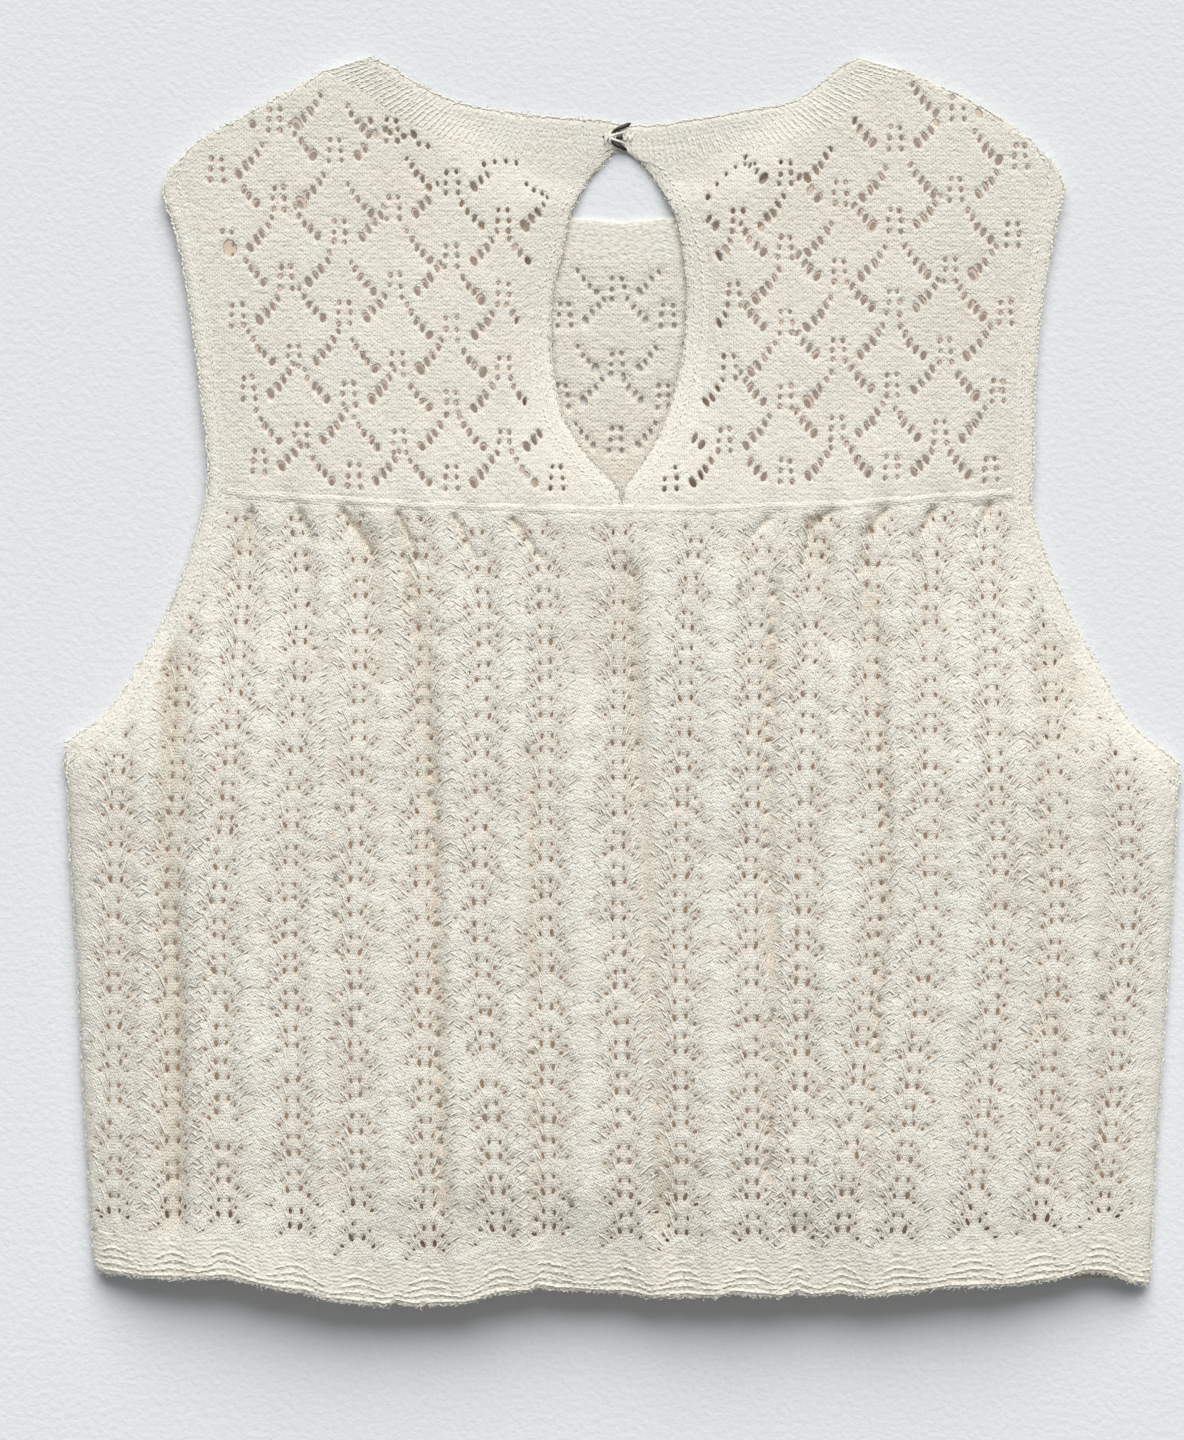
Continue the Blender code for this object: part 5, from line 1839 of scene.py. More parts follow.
@dataclass
class Workshop:
    """What every sub-assembly is made with: the pattern, the drape, the tools and the finishes."""

    pattern: Pattern = field(default_factory=Pattern)
    knitter: Knitter = field(default_factory=Knitter)
    areas: dict[str, float] = field(default_factory=dict)
    drape: Drape = field(init=False)
    finishes: dict[str, bpy.types.Material] = field(init=False)

    def __post_init__(self) -> None:
        """Readies the drape and makes each finish once."""
        self.drape = Drape(self.pattern)
        self.finishes = {
            "lace": KnitFinish("lace_knit", Stitch.STOCKING, yarn=(0.83, 0.81, 0.715)).material(),
            # the fan lace has a paler painted inner shade and a dimmer painted glow
            "fan": KnitFinish("fan_lace_knit", Stitch.STOCKING, relief=0.00028,
                              yarn=(0.90, 0.885, 0.79), inside=(0.57, 0.49, 0.40),
                              glow=(0.20, 0.155, 0.12)).material(),
            "plain": KnitFinish("plain_knit", Stitch.STOCKING).material(),
            "rib": KnitFinish("rib_knit", Stitch.RIB, yarn=(0.80, 0.785, 0.705)).material(),
            "garter": KnitFinish("garter_knit", Stitch.GARTER, yarn=(0.825, 0.805, 0.71),
                                 relief=0.00024).material(),
            "strand": YarnFinish().material(),
            "wire": WireFinish().material(),
        }

    def straight_chart(self, x: Array, y: Array) -> tuple[Array, Array]:
        """Wales that run straight up the garment."""
        return x / self.knitter.wale, y / self.knitter.course

    def grid(self, loop: Array, step_x: float, step_y: float) -> Array:
        """Staggered points inside an outline."""
        low, high = loop.min(axis=0), loop.max(axis=0)
        points = []
        for row, y in enumerate(np.arange(low[1], high[1], step_y)):
            x = np.arange(low[0] + (step_x / 2 if row % 2 else 0.0), high[0], step_x)
            points.append(np.column_stack([x, np.full(len(x), y)]))
        stacked = np.vstack(points)
        return stacked[depth_inside(loop, stacked) > 1.2]

    def lay_on(self, strand: Strand, plan: Array, angle: Array, sizes: Array,
               lift: Array | float) -> None:
        """Lays lengths of yarn on the back of the garment.

        Args:
            strand: takes the lengths.
            plan: middles, as rows of x and y.
            angle: direction of each, anticlockwise from +X, in radians.
            sizes: width, length and height of each.
            lift: height of the middles above the cloth.
        """
        height = self.drape.back
        lift = np.broadcast_to(np.asarray(lift, float), (len(plan),))
        middles = self.knitter.placed(plan, height, lift)
        step = 0.6
        run = np.column_stack([np.cos(angle), np.sin(angle)]) * step
        ahead, behind = plan + run, plan - run
        along = np.column_stack([2 * run, height(*ahead.T) - height(*behind.T)])
        normal = self.knitter.placed(plan, height, lift + 1.0) - middles
        strand.lay(middles, along, normal, sizes)

    def dress(self, piece: bpy.types.Object, finish: str, slot: str, *nodes: str) -> None:
        """Gives a piece its finish and its body, and hides the solids that it stands for."""
        piece.data.materials.clear()
        piece.data.materials.append(self.finishes[finish])
        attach(piece, BODY)
        if nodes:
            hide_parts(*nodes)
        piece.data.calc_loop_triangles()
        LOG.info("%s: %d triangles", piece.name, len(piece.data.loop_triangles))

    def panel(self, look: tuple[str, ...], name: str, loop: Array, *shape: object) -> None:
        """Knits and dresses a panel, and notes its area in plan.

        Args:
            look: its finish, its slot and the solids that it stands for.
            name: name of the piece.
            loop: its outline.
            shape: the rest of what Knitter.panel takes, in order.
        """
        self.dress(self.knitter.panel(name, loop, *shape), *look)
        self.areas[name] = loop_area(loop) * SQUARE_MM

    def band(self, look: tuple[str, ...], name: str, *shape: object, **tones: object) -> None:
        """Knits and dresses a band.

        Args:
            look: its finish, its slot and the solids that it stands for.
            name: name of the piece.
            shape: the rest of what Knitter.band takes, in order.
            tones: what it takes by name.
        """
        self.dress(self.knitter.band(name, *shape, **tones), *look)

    def yarn(self, look: tuple[str, ...], name: str, strand: Strand, **shape: float) -> None:
        """Turns lengths of yarn into one piece and dresses it.

        Args:
            look: its slot and the solids that it stands for.
            name: name of the piece.
            strand: where the lengths lie.
            shape: the sizes of YarnTree that differ from its own.
        """
        piece = YarnTree(**shape).lay(name, strand, self.finishes["strand"])
        self.dress(piece, "strand", *look)

    def along(self, s: Array, away: Array) -> tuple[Array, Array]:
        """Wales along a band and courses across it."""
        return s / self.knitter.wale, away / self.knitter.course

    def across(self, s: Array, away: Array) -> tuple[Array, Array]:
        """Wales across a band and courses along it."""
        return away / self.knitter.wale, s / self.knitter.course


@dataclass(frozen=True)
class Sheet:
    """A panel as it comes off the needles: its flat size, how it lies and what is sewn to it.

    Ease is how much more cloth there is than the outline in plan, because the cloth is domed.
    """

    name: str
    flat: tuple[float, float]
    ease: float
    held: str
    rests_on: str
    sewn_on: tuple[str, ...]

    def declare(self, plan_area: float) -> None:
        """Looks up each piece that is sewn to the panel."""
        [bpy.data.objects[name] for name in self.sewn_on]


SHEETS = (
    Sheet("yoke_lace_left", (0.172, 0.172), 1.02, "laid", "yoke_lace_front",
          ("neckband_left", "keyhole_band_left_knit", "armhole_edging_left")),
    Sheet("yoke_lace_right", (0.172, 0.172), 1.02, "laid", "yoke_lace_front",
          ("neckband_right", "keyhole_band_right_knit", "armhole_edging_right")),
    Sheet("yoke_lace_front", (0.345, 0.172), 1.0, "laid", "floor",
          ("neckband_front", "armhole_edging_front_left", "armhole_edging_front_right")),
    Sheet("body_lace", (0.445, 0.300), 1.06, "gathered", "body_front",
          ("hem_border", "yoke_seam", "body_legs", "hem_purl_bumps")),
    Sheet("body_front", (0.430, 0.305), 1.0, "laid", "floor", ("hem_border_front",)),
)


@dataclass
class Yoke:
    """The two halves of the lace yoke."""

    shop: Workshop
    lace: DiamondLace = field(default_factory=DiamondLace)
    pulled: tuple[Eyelet, ...] = (Eyelet(-150.7, 165.8, 4.7, 6.4, 10.0, 14, True),)
    pulled_room: float = 5.8       # no other eyelet lies as near as this to a pulled one
    narrower: float = 0.62         # how wide and long eyelets are where no front is below them
    shorter: float = 0.72

    def build(self) -> None:
        """Makes and dresses both halves, with the hole that is pulled wide in place of a group."""
        shop = self.shop
        for side in Side:
            columns = [column for column in YOKE_LACE if on_side(column.top_x, side)]
            loop = drawn_in(shop.pattern.yoke_half(side), TUCKED)
            pulled = [hole for hole in self.pulled if on_side(hole.x, side)]
            lace = pulled + [
                self.tightened(eyelet) for eyelet in self.lace.eyelets(columns)
                if all(math.hypot(eyelet.x - hole.x, eyelet.y - hole.y) > self.pulled_room
                       for hole in pulled)]
            shop.panel(("lace", "knit_lace", f"back_yoke_{side.value}"),
                       f"yoke_lace_{side.value}", loop, shop.drape.back,
                       lace + self.lace.under_neckband(shop.pattern, side),
                       shop.grid(loop, 1.9, 1.7), self.relief, self.painted_shade,
                       shop.straight_chart, self.edge_drop)

    def tightened(self, eyelet: Eyelet) -> Eyelet:
        """The eyelet as it is, or smaller where the cloth has no front below it."""
        neck = float(crossing_y(self.shop.drape.front_neck, np.array([eyelet.x]))[0])
        if eyelet.y < neck + 2.0:
            return eyelet
        return eyelet._replace(width=eyelet.width * self.narrower,
                               length=eyelet.length * self.shorter)

    def relief(self, x: Array, y: Array) -> Array:
        """Soft puffs inside the diamonds."""
        return 0.12 * np.sin(x / 3.3 + 0.6 * np.sin(y / 6.1)) * np.sin(y / 4.7)

    def painted_shade(self, x: Array, y: Array) -> Array:
        """Faint painted shade in the slower dips."""
        return np.clip(0.08 - 0.15 * self.shop.drape.unevenness(x, y), 0.0, 1.0)

    def edge_drop(self, x: Array, y: Array) -> Array:
        """A full soft edge on the shoulder and a shallow one at the seams."""
        line = self.shop.pattern.edge(SHOULDER, Side.LEFT if x.mean() < 0 else Side.RIGHT)
        away = np.array([np.hypot(line[:, 0] - px, line[:, 1] - py).min()
                         for px, py in zip(x, y)])
        return np.where(away < 1.0, 1.0, PANEL_DROP)


@dataclass
class Body:
    """The gathered lace body, its hem border and the yoke seam."""

    shop: Workshop
    crease_depth: float = 3.4      # a crease this far down gets the full painted shade of a fold

    def build(self) -> None:
        """Makes and dresses the lace body."""
        pattern, drape = self.shop.pattern, self.shop.drape
        loop = drawn_in(pattern.body(pattern.hem_top(), -pattern.welt / 2), TUCKED)
        lace = FanLace(drape).eyelets(self.top, self.bottom)
        self.shop.panel(("fan", "knit_lace", "back_body"), "body_lace", loop, drape.back, lace,
                        self.points(loop), self.relief, self.painted_shade, self.chart, self.edge_drop)

    def top(self, x: Array, y: Array) -> Array:
        """Level of the upper edge of the lace."""
        return self.shop.pattern.lace_top(x, -self.shop.pattern.welt / 2)

    def bottom(self, x: Array, y: Array) -> Array:
        """Level of the lower edge of the lace."""
        return crossing_y(self.shop.pattern.hem_top(), x)

    def points(self, loop: Array) -> Array:
        """Points down every column and between the columns, closer where the sides turn down."""
        drape = self.shop.drape
        levels = np.arange(loop[:, 1].min(), loop[:, 1].max(), 2.7)
        shares = np.array([0.0, 0.10, 0.22, 0.36, 0.5, 0.64, 0.78, 0.90])
        lines = extended(drape.columns(levels))
        rows = [np.column_stack([low + (high - low) * share, levels])
                for low, high in zip(lines, lines[1:]) for share in shares]
        for line, sign in ((drape.left, 1), (drape.right, -1)):
            for away in (1.2, 2.4, 4.0, 6.2):
                rows.append(np.column_stack([crossing_x(line, levels) + sign * away, levels]))
        for crease in CREASES:
            start, end = np.array(crease[:2]), np.array(crease[2:4])
            run = end - start
            share = np.linspace(0.0, 1.0, int(np.linalg.norm(run) / 1.3) + 2)[:, None]
            aside = np.array([-run[1], run[0]]) / np.linalg.norm(run)
            for away in (-1.6, -0.8, 0.0, 0.8, 1.6):
                rows.append(start + run * share + aside * away * crease.width / 1.8)
        points = np.vstack(rows)
        return points[depth_inside(loop, points) > 1.0]

    def relief(self, x: Array, y: Array) -> Array:
        """A cord down each column, a groove where its eyelets sit, and puffs between."""
        share, away, _, _ = self.shop.drape.between(x, y)
        _, courses = self.chart(x, y)
        puff = np.sin(np.pi * share) ** 2 * np.cos(TAU * courses / 8.2)
        cord = 0.30 * np.exp(-(away / 0.9) ** 2)
        groove = 0.22 * np.exp(-((away - 4.0) / 2.4) ** 2)
        return cord - groove + 0.14 * puff + 0.1 * np.sin(x / 1.9 + y / 2.3) * np.sin(y / 1.7)

    def chart(self, x: Array, y: Array) -> tuple[Array, Array]:
        """Wales that fan out from each column, and courses that arch over it."""
        _, away, half, _ = self.shop.drape.between(x, y)
        arch = 0.9 * (away - away ** 2 / (2 * half))
        return ((away - 0.55 * y) / self.shop.knitter.wale,
                (y + arch) / self.shop.knitter.course)

    def painted_shade(self, x: Array, y: Array) -> Array:
        """Painted warm shade in the folds, creases and slow dips, a painted highlight on long-fold
        ridges, and a little painted shade towards the sides.
        """
        drape = self.shop.drape
        _, away, _, _ = drape.between(x, y)
        tone = 0.02 + 0.07 * np.exp(-(away / 5.0) ** 2) + 0.85 * drape.long_folds(x, y, "tone")
        # painted shade towards the sides, where the back rounds down
        sides = 0.06 * smooth_step((drape.outward(x, y) - 0.80) / 0.15)
        tone += drape.crease_drop(x, y) / self.crease_depth - 0.05 * drape.unevenness(x, y)
        return np.clip(tone + sides, 0.0, 1.0)

    def edge_drop(self, x: Array, y: Array) -> Array:
        """A full soft edge down the side seams and a shallow one at the other seams."""
        at_side = (self.shop.drape.outward(x, y) > 0.99) & (y < -20.0)
        return np.where(at_side, 1.0, PANEL_DROP)

    def build_hem(self) -> None:
        """Makes and dresses the garter border, whose ridges follow the wavy edge."""
        pattern, drape = self.shop.pattern, self.shop.drape
        lower = divided(pattern.hem_edge(), 560)
        upper = pattern.on_sides(lower + (0.0, pattern.hem_border))
        along = distances(lower)
        lower = lower + np.column_stack([
            np.zeros(len(lower)),
            0.28 * np.sin(along / 0.42) + 0.22 * np.sin(along / 1.07 + np.sin(along / 5.0))])
        lower[[0, -1], 1] = upper[[0, -1], 1] - pattern.hem_border

        def ridges(t: Array, plan: Array) -> tuple[Array, Array]:
            """Count of ridges up from the edge, and how far they show.

            They arch over each column of the lace, and only the lowest two show between columns.
            """
            share, _, _, _ = drape.between(*plan.T)
            arch = 0.5 + 0.5 * np.cos(TAU * share)
            count = t * pattern.hem_border / (RIDGE_PITCH + RIDGE_SWELL * arch)
            number = 3.6 + 2.2 * np.cos(TAU * share) + 0.6 * np.sin(plan[:, 0] / 15.0)
            return count, smooth_step((number - count) / 1.5)

        def profile(s: Array, t: Array, plan: Array) -> Array:
            """Soft ridges that die away where the border dips between two columns."""
            count, fade = ridges(t, plan)
            ridge = 0.5 - 0.5 * np.cos(TAU * count)
            return (0.32 * ridge * fade - 0.14 * fade * smooth_step(t / 0.1)
                    + 0.1 * np.sin(s / 1.3 + 4.0 * t))

        def painted_shade(s: Array, t: Array, plan: Array) -> Array:
            """Painted shade between the ridges and in the dips above them."""
            count, fade = ridges(t, plan)
            between = 0.5 + 0.5 * np.cos(TAU * count)
            return 0.14 * between * fade + 0.02 + drape.crease_drop(*plan.T) / self.crease_depth

        self.shop.band(("garter", "knit_garter", "back_hem"), "hem_border", lower, upper,
                       drape.back, profile, 34, 2.4, self.shop.along, painted_shade, (1.0, SEWN_DROP))

    def build_welt(self) -> None:
        """Makes and dresses the raised line between yoke and body."""
        pattern = self.shop.pattern
        ends = []
        for side in Side:
            _, inner = pattern.armhole_edges(side)
            ends.append([cut_at(inner, pattern.seam_y(inner[:, 0]) + shift, True)[-1, 0]
                         for shift in (pattern.welt / 2, -pattern.welt / 2)])
        count = 300
        upper = divided(pattern.seam_line(ends[0][0], ends[1][0], pattern.welt / 2), count)
        lower = divided(pattern.seam_line(ends[0][1], ends[1][1], -pattern.welt / 2), count)

        def profile(s: Array, t: Array, plan: Array) -> Array:
            """A low ridge that wanders a little."""
            middle = 0.45 + 0.10 * np.sin(s / 9.0) + 0.06 * np.sin(s / 3.7)
            ridge = 0.34 * np.exp(-((t - middle) / 0.28) ** 2)
            return ridge * (1 + 0.3 * np.sin(s / 0.62)) * np.sin(np.pi * t) ** 0.5

        def chart(s: Array, away: Array) -> tuple[Array, Array]:
            """Courses along the seam."""
            return away / 2.1, s / self.shop.knitter.course

        self.shop.band(("plain", "knit_plain", "yoke_seam_welt"), "yoke_seam", upper, lower,
                       self.shop.drape.back, profile, 6, 2.6, chart, None, (SEWN_DROP, SEWN_DROP))


@dataclass
class Trims:
    """Neckbands, keyhole bands and armhole edgings of the back."""

    shop: Workshop
    rib_pitch: float = 1.9

    def neckband(self, side: Side) -> None:
        """One half of the ribbed back neckband."""
        outer, inner = evened(self.shop.pattern.neckband_edges(side, True), 0.45)

        def profile(s: Array, t: Array, plan: Array) -> Array:
            """Ribs across the band, and a slightly rolled upper edge."""
            rib = 0.5 + 0.5 * np.cos(TAU * s / self.rib_pitch)
            roll = 0.22 * np.exp(-((t - 0.1) / 0.12) ** 2)
            return 0.12 * rib * np.sin(np.pi * t) ** 0.4 + roll - 0.1

        free = SEWN_DROP + 1.0 * smooth_step((6.4 - abs(inner[:, 0])) / 1.5)
        # its free edges get painted inner shade and a painted glow that lightens them
        self.shop.band(
            ("rib", "knit_rib", f"back_neckband_{side.value}"), f"neckband_{side.value}",
            outer, inner, self.shop.drape.back, profile, 9, 1.7,
            lambda s, away: (s / self.rib_pitch, away / self.shop.knitter.course), None,
            (1.2, free), edge_shade_and_glow=0.72)

    def keyhole_band(self, side: Side) -> None:
        """The plain band beside the keyhole."""
        def profile(s: Array, t: Array, plan: Array) -> Array:
            """A rolled edge that lies down at the opening."""
            return 0.2 * np.exp(-((t - 0.2) / 0.14) ** 2) - 0.85 * np.exp(-(t / 0.4) ** 2)

        # its opening edge gets painted inner shade and a painted glow that lightens it
        self.shop.band(
            ("plain", "knit_plain", f"keyhole_band_{side.value}"),
            f"keyhole_band_{side.value}_knit", *evened(self.shop.pattern.keyhole_edges(side), 1.0),
            self.shop.drape.back, profile, 8, 1.2, self.shop.across, None, (0.7, SEWN_DROP),
            edge_shade_and_glow=0.85)

    def armhole_edging(self, side: Side) -> None:
        """The turned edge of an armhole."""
        def profile(s: Array, t: Array, plan: Array) -> Array:
            """A round roll at the armhole."""
            return 0.35 * np.exp(-((t - 0.25) / 0.22) ** 2)

        # its armhole edge gets painted inner shade and a painted glow that lightens it
        self.shop.band(
            ("plain", "knit_plain", f"back_armhole_edging_{side.value}"),
            f"armhole_edging_{side.value}", *evened(self.shop.pattern.armhole_edges(side), 1.0),
            self.shop.drape.back, profile, 7, 2.4, self.shop.across, None, (1.0, SEWN_DROP),
            edge_shade_and_glow=0.85)


@dataclass
class Front:
    """The front of the garment, which lies flat underneath."""

    shop: Workshop

    def flat_painted_shade(self, x: Array, y: Array) -> Array:
        """An even, light painted shade."""
        return np.full(np.shape(x), 0.12)

    def flat_relief(self, x: Array, y: Array) -> Array:
        """No relief of its own."""
        return np.zeros(np.shape(x))

    def inner_shade_and_glow(self, x: Array, y: Array) -> Array:
        """Painted warm inner shade and glow under the lace, and none where the keyhole shows the
        face.
        """
        window = np.hypot(x / 36.0, (y - 134.0) / 78.0)
        return np.clip((window - 1.0) / 0.22, 0.0, 1.0)

    @staticmethod
    def window_lace() -> DiamondLace:
        """The lace that shows in the keyhole, drawn closer than the rest."""
        return DiamondLace(seed=6, slots=((8.3, -1.6, 1.9, 3.2), (10.9, 0.9, 1.2, 3.0),
                                          (13.2, 3.3, 1.2, 2.8), (15.3, 6.4, 1.1, 2.2)))

    def yoke(self) -> None:
        """The front yoke, with the same lace."""
        loop = drawn_in(self.shop.pattern.front_yoke(), -0.4)
        middle = (LaceColumn(-20.5, -24.0, 140.0, 31.0, 2), LaceColumn(-1.0, -2.5, 150.5, 29.2, 3),
                  LaceColumn(20.5, 14.5, 140.0, 31.0, 2))
        sides = tuple(column for column in YOKE_LACE if abs(column.foot_x) > 30.0)
        self.shop.panel(
            ("lace", "knit_underneath", "front_yoke"), "yoke_lace_front", loop,
            self.shop.drape.front,
            self.window_lace().eyelets(middle) + DiamondLace(seed=6).eyelets(sides),
            self.shop.grid(loop, 4.0, 4.0),
            self.flat_relief, self.flat_painted_shade, self.shop.straight_chart,
            lambda x, y: np.where(y > 230.0, 0.8, PANEL_DROP), self.inner_shade_and_glow, 0.0)

    def body(self) -> None:
        """The front body, with the same columns of lace."""
        pattern = self.shop.pattern
        hem_top = pattern.above_hem(pattern.front_hem_edge())
        loop = drawn_in(pattern.body(hem_top, 0.0), 0.1)
        lace = FanLace(self.shop.drape, seed=21).eyelets(
            lambda x, y: pattern.lace_top(x, 0.0),
            lambda x, y: np.full(np.shape(x), float(hem_top[:, 1].mean())), True)
        self.shop.panel(
            ("fan", "knit_underneath", "front_body"), "body_front", loop, self.shop.drape.front,
            lace, self.shop.grid(loop, 6.0, 6.0), self.flat_relief, self.flat_painted_shade,
            # painted inner shade and glow on the upper face, growing from the hem border up
            Body(self.shop).chart, None, lambda x, y: np.clip((y + 212.0) / 20.0, 0.0, 0.9), 0.0)

    def hem(self) -> None:
        """The front hem border."""
        pattern = self.shop.pattern
        lower = divided(pattern.front_hem_edge(), 240)
        self.shop.band(
            ("garter", "knit_underneath", "front_hem"), "hem_border_front", lower,
            pattern.above_hem(lower), self.shop.drape.front,
            lambda s, t, plan: -0.15 + 0.15 * np.cos(TAU * 4.5 * t), 18, 2.0,
            lambda s, away: (s / self.shop.knitter.wale, away / pattern.hem_border * 4.5),
            # a little painted inner shade on its upper face
            None, (1.0, 0.8), (0.1, 0.0))

    def neckband(self) -> None:
        """The front neckband, whose upper edge shows in the keyhole."""
        halves = [self.shop.pattern.neckband_edges(side, False) for side in Side]
        outer, inner = (divided(np.vstack([left, right[::-1][1:]]), 420)
                        for left, right in zip(*halves))
        self.shop.band(
            ("rib", "knit_underneath", "front_neckband"), "neckband_front", outer, inner,
            self.shop.drape.front, lambda s, t, plan: -0.12 + 0.12 * np.cos(TAU * s / 3.0), 7, 2.0,
            lambda s, away: (s / 3.0, away / self.shop.knitter.course), None, (0.8, SEWN_DROP),
            (0.0, 0.0))

    def edging(self, side: Side) -> None:
        """The front armhole edging, under the back one."""
        self.shop.band(
            ("plain", "knit_underneath", f"front_armhole_edging_{side.value}"),
            f"armhole_edging_front_{side.value}",
            *evened(self.shop.pattern.armhole_edges(side), 1.6), self.shop.drape.front,
            lambda s, t, plan: np.full(np.shape(s), -0.05), 4, 2.0, self.shop.across, None,
            # some painted inner shade on its upper face
            (0.8, 0.8), (0.3, 0.0))


@dataclass
class YarnWork:
    """The stitches that stand up from the cloth, laid as separate lengths of yarn."""

    shop: Workshop
    seed: int = 17
    edge_pitch: float = 1.75       # from one edge stitch to the next
    band_pitch: float = 2.3        # the same along a band, and from one of its rows to the next
    row_pitch: float = 1.75
    rib_pitch: float = 1.9         # from rib to rib, and from stitch to stitch up a rib
    fibre_pitch: float = 1.1

    # Width, length and rise of each kind of stitch
    PURL = (0.95, 1.75, 0.5)
    EDGE = (1.0, 2.1, 0.9)
    BAND = (1.15, 2.3, 0.40)
    RIB = (0.95, 1.9, 0.32)
    FIBRE = (0.15, 2.2, 0.15)

    def body_legs(self) -> None:
        """Slanted legs that run up and out from every column of the lace."""
        drape, pattern = self.shop.drape, self.shop.pattern
        rng = np.random.default_rng(self.seed)
        body = Body(self.shop)
        lace = FanLace(drape)
        plan, angles, lengths = [], [], []
        for x, y in lace.repeats(body.top, body.bottom):
            column = lace.nearest(x, y)
            for out, up, lean, length in lace.LEGS:
                at = float(drape.columns(np.array([y + up]))[column, 0])
                for side in (-1, 1):
                    plan.append((at + side * out, y + up))
                    angles.append(90.0 - side * lean)
                    lengths.append(length)
        plan = np.array(plan) + rng.normal(0.0, 0.16, (len(plan), 2))
        angles = np.radians(angles) + rng.normal(0.0, 0.10, len(plan))
        sizes = np.column_stack([np.full(len(plan), 0.9), lengths, np.full(len(plan), 0.24)])
        sizes *= rng.uniform(0.8, 1.2, sizes.shape)
        loop = drawn_in(pattern.body(pattern.hem_top(), -pattern.welt / 2), 2.0)
        keep = (depth_inside(loop, plan) > 0.5) & (rng.random(len(plan)) < 0.9)
        strand = Strand()
        self.shop.lay_on(strand, plan[keep], angles[keep], sizes[keep], -0.08)
        self.shop.yarn(("knit_lace", "back_body"), "body_legs", strand, sides=4, segments=3,
                       bow=0.28, thin=0.7)

    def hem_bumps(self) -> None:
        """Purl bumps along the ridges of the hem border and on its very edge."""
        pattern, drape = self.shop.pattern, self.shop.drape
        rng = np.random.default_rng(self.seed + 1)
        lower = divided(pattern.hem_edge(), 214)
        slope = np.gradient(lower[:, 1], lower[:, 0])
        share, _, _, _ = drape.between(lower[:, 0], lower[:, 1] + pattern.hem_border / 2)
        arch = 0.5 + 0.5 * np.cos(TAU * share)
        strand = Strand()
        for ridge in range(6):
            up = ((ridge - 0.5) * (RIDGE_PITCH + RIDGE_SWELL * arch) if ridge
                  else np.full(len(lower), 0.1))
            half_stitch = self.shop.knitter.wale / 2 * (ridge % 2)
            plan = lower + np.column_stack([np.full(len(lower), half_stitch), up])
            plan = plan + rng.normal(0.0, 0.14, plan.shape)
            keep = (up < 4.6 + 8.0 * arch) & (rng.random(len(up)) < 0.85)
            keep[[0, 1, -1]] = False
            swell = RIDGE_SWELL * (ridge - 0.5) * np.gradient(arch, lower[:, 0])
            turn = np.arctan(slope + swell)
            sizes = varied(rng, len(plan), 0.15, self.PURL)
            lift = 0.20 if ridge else -0.75
            self.shop.lay_on(strand, plan[keep], turn[keep], sizes[keep], lift)
        self.shop.yarn(("knit_garter", "back_hem"), "hem_purl_bumps", strand, sides=5, segments=4,
                       bow=0.2, thin=0.7)

    def edge_loops(self) -> None:
        """The chain of edge stitches round the armholes, shoulders and neck, and down the sides."""
        pattern = self.shop.pattern
        rng = np.random.default_rng(self.seed + 2)
        strand = Strand()
        for side in Side:
            armhole, _ = pattern.armhole_edges(side)
            neck, _ = pattern.neckband_edges(side, True)
            sign = 1 if side is Side.RIGHT else -1
            curves = [(armhole, (FAR * sign, 60.0)),
                      (pattern.shoulder_parts(side)[1], (300.0 * sign, FAR)),
                      (neck, (0.0, FAR)),
                      (part_between(pattern.edge(SIDE_SEAM, side), 3.0, 196.0),
                       (FAR * sign, -130.0))]
            for curve, outwards in curves:
                count = int(distances(curve)[-1] / self.edge_pitch)
                plan = inset(divided(curve, count), rng.uniform(-0.1, 0.6, count), outwards)
                run = np.gradient(plan, axis=0)
                turn = heading(run) + rng.normal(0.0, 0.22, len(plan))
                sizes = varied(rng, len(plan), 0.2, self.EDGE)
                self.shop.lay_on(strand, plan, turn, sizes, -0.45)
        look = ("knit_plain", "back_armhole_edging_left", "back_armhole_edging_right")
        self.shop.yarn(look, "edge_stitches", strand, sides=5, segments=4, bow=0.2, thin=0.65)

    def band_stitches(self) -> None:
        """Stitches along the armhole edgings and the keyhole bands."""
        pattern = self.shop.pattern
        rng = np.random.default_rng(self.seed + 5)
        strand = Strand()
        for side in Side:
            for edges, dip in ((pattern.armhole_edges(side), 0.0),
                               (pattern.keyhole_edges(side), 0.85)):
                outer, inner = evened(edges, self.band_pitch)
                down = inner - outer
                wide = spans(down)
                run = np.gradient(outer, axis=0)
                for row, away in enumerate(np.arange(1.6, 8.0, self.row_pitch)):
                    plan = outer + down / wide[:, None] * away + run * 0.5 * (row % 2)
                    plan = plan + rng.normal(0.0, 0.18, outer.shape)
                    turn = heading(run) + (0.45 if row % 2 else -0.45)
                    turn = turn + rng.normal(0.0, 0.15, len(outer))
                    sizes = varied(rng, len(plan), 0.2, self.BAND)
                    keep = (away < wide - 0.9) & (rng.random(len(plan)) < 0.9)
                    lift = -0.06 - dip * np.exp(-(away / wide / 0.4) ** 2)
                    self.shop.lay_on(strand, plan[keep], turn[keep], sizes[keep], lift[keep])
        self.shop.yarn(("knit_plain",), "band_stitches", strand, sides=4, segments=3, bow=0.3,
                       thin=0.55)

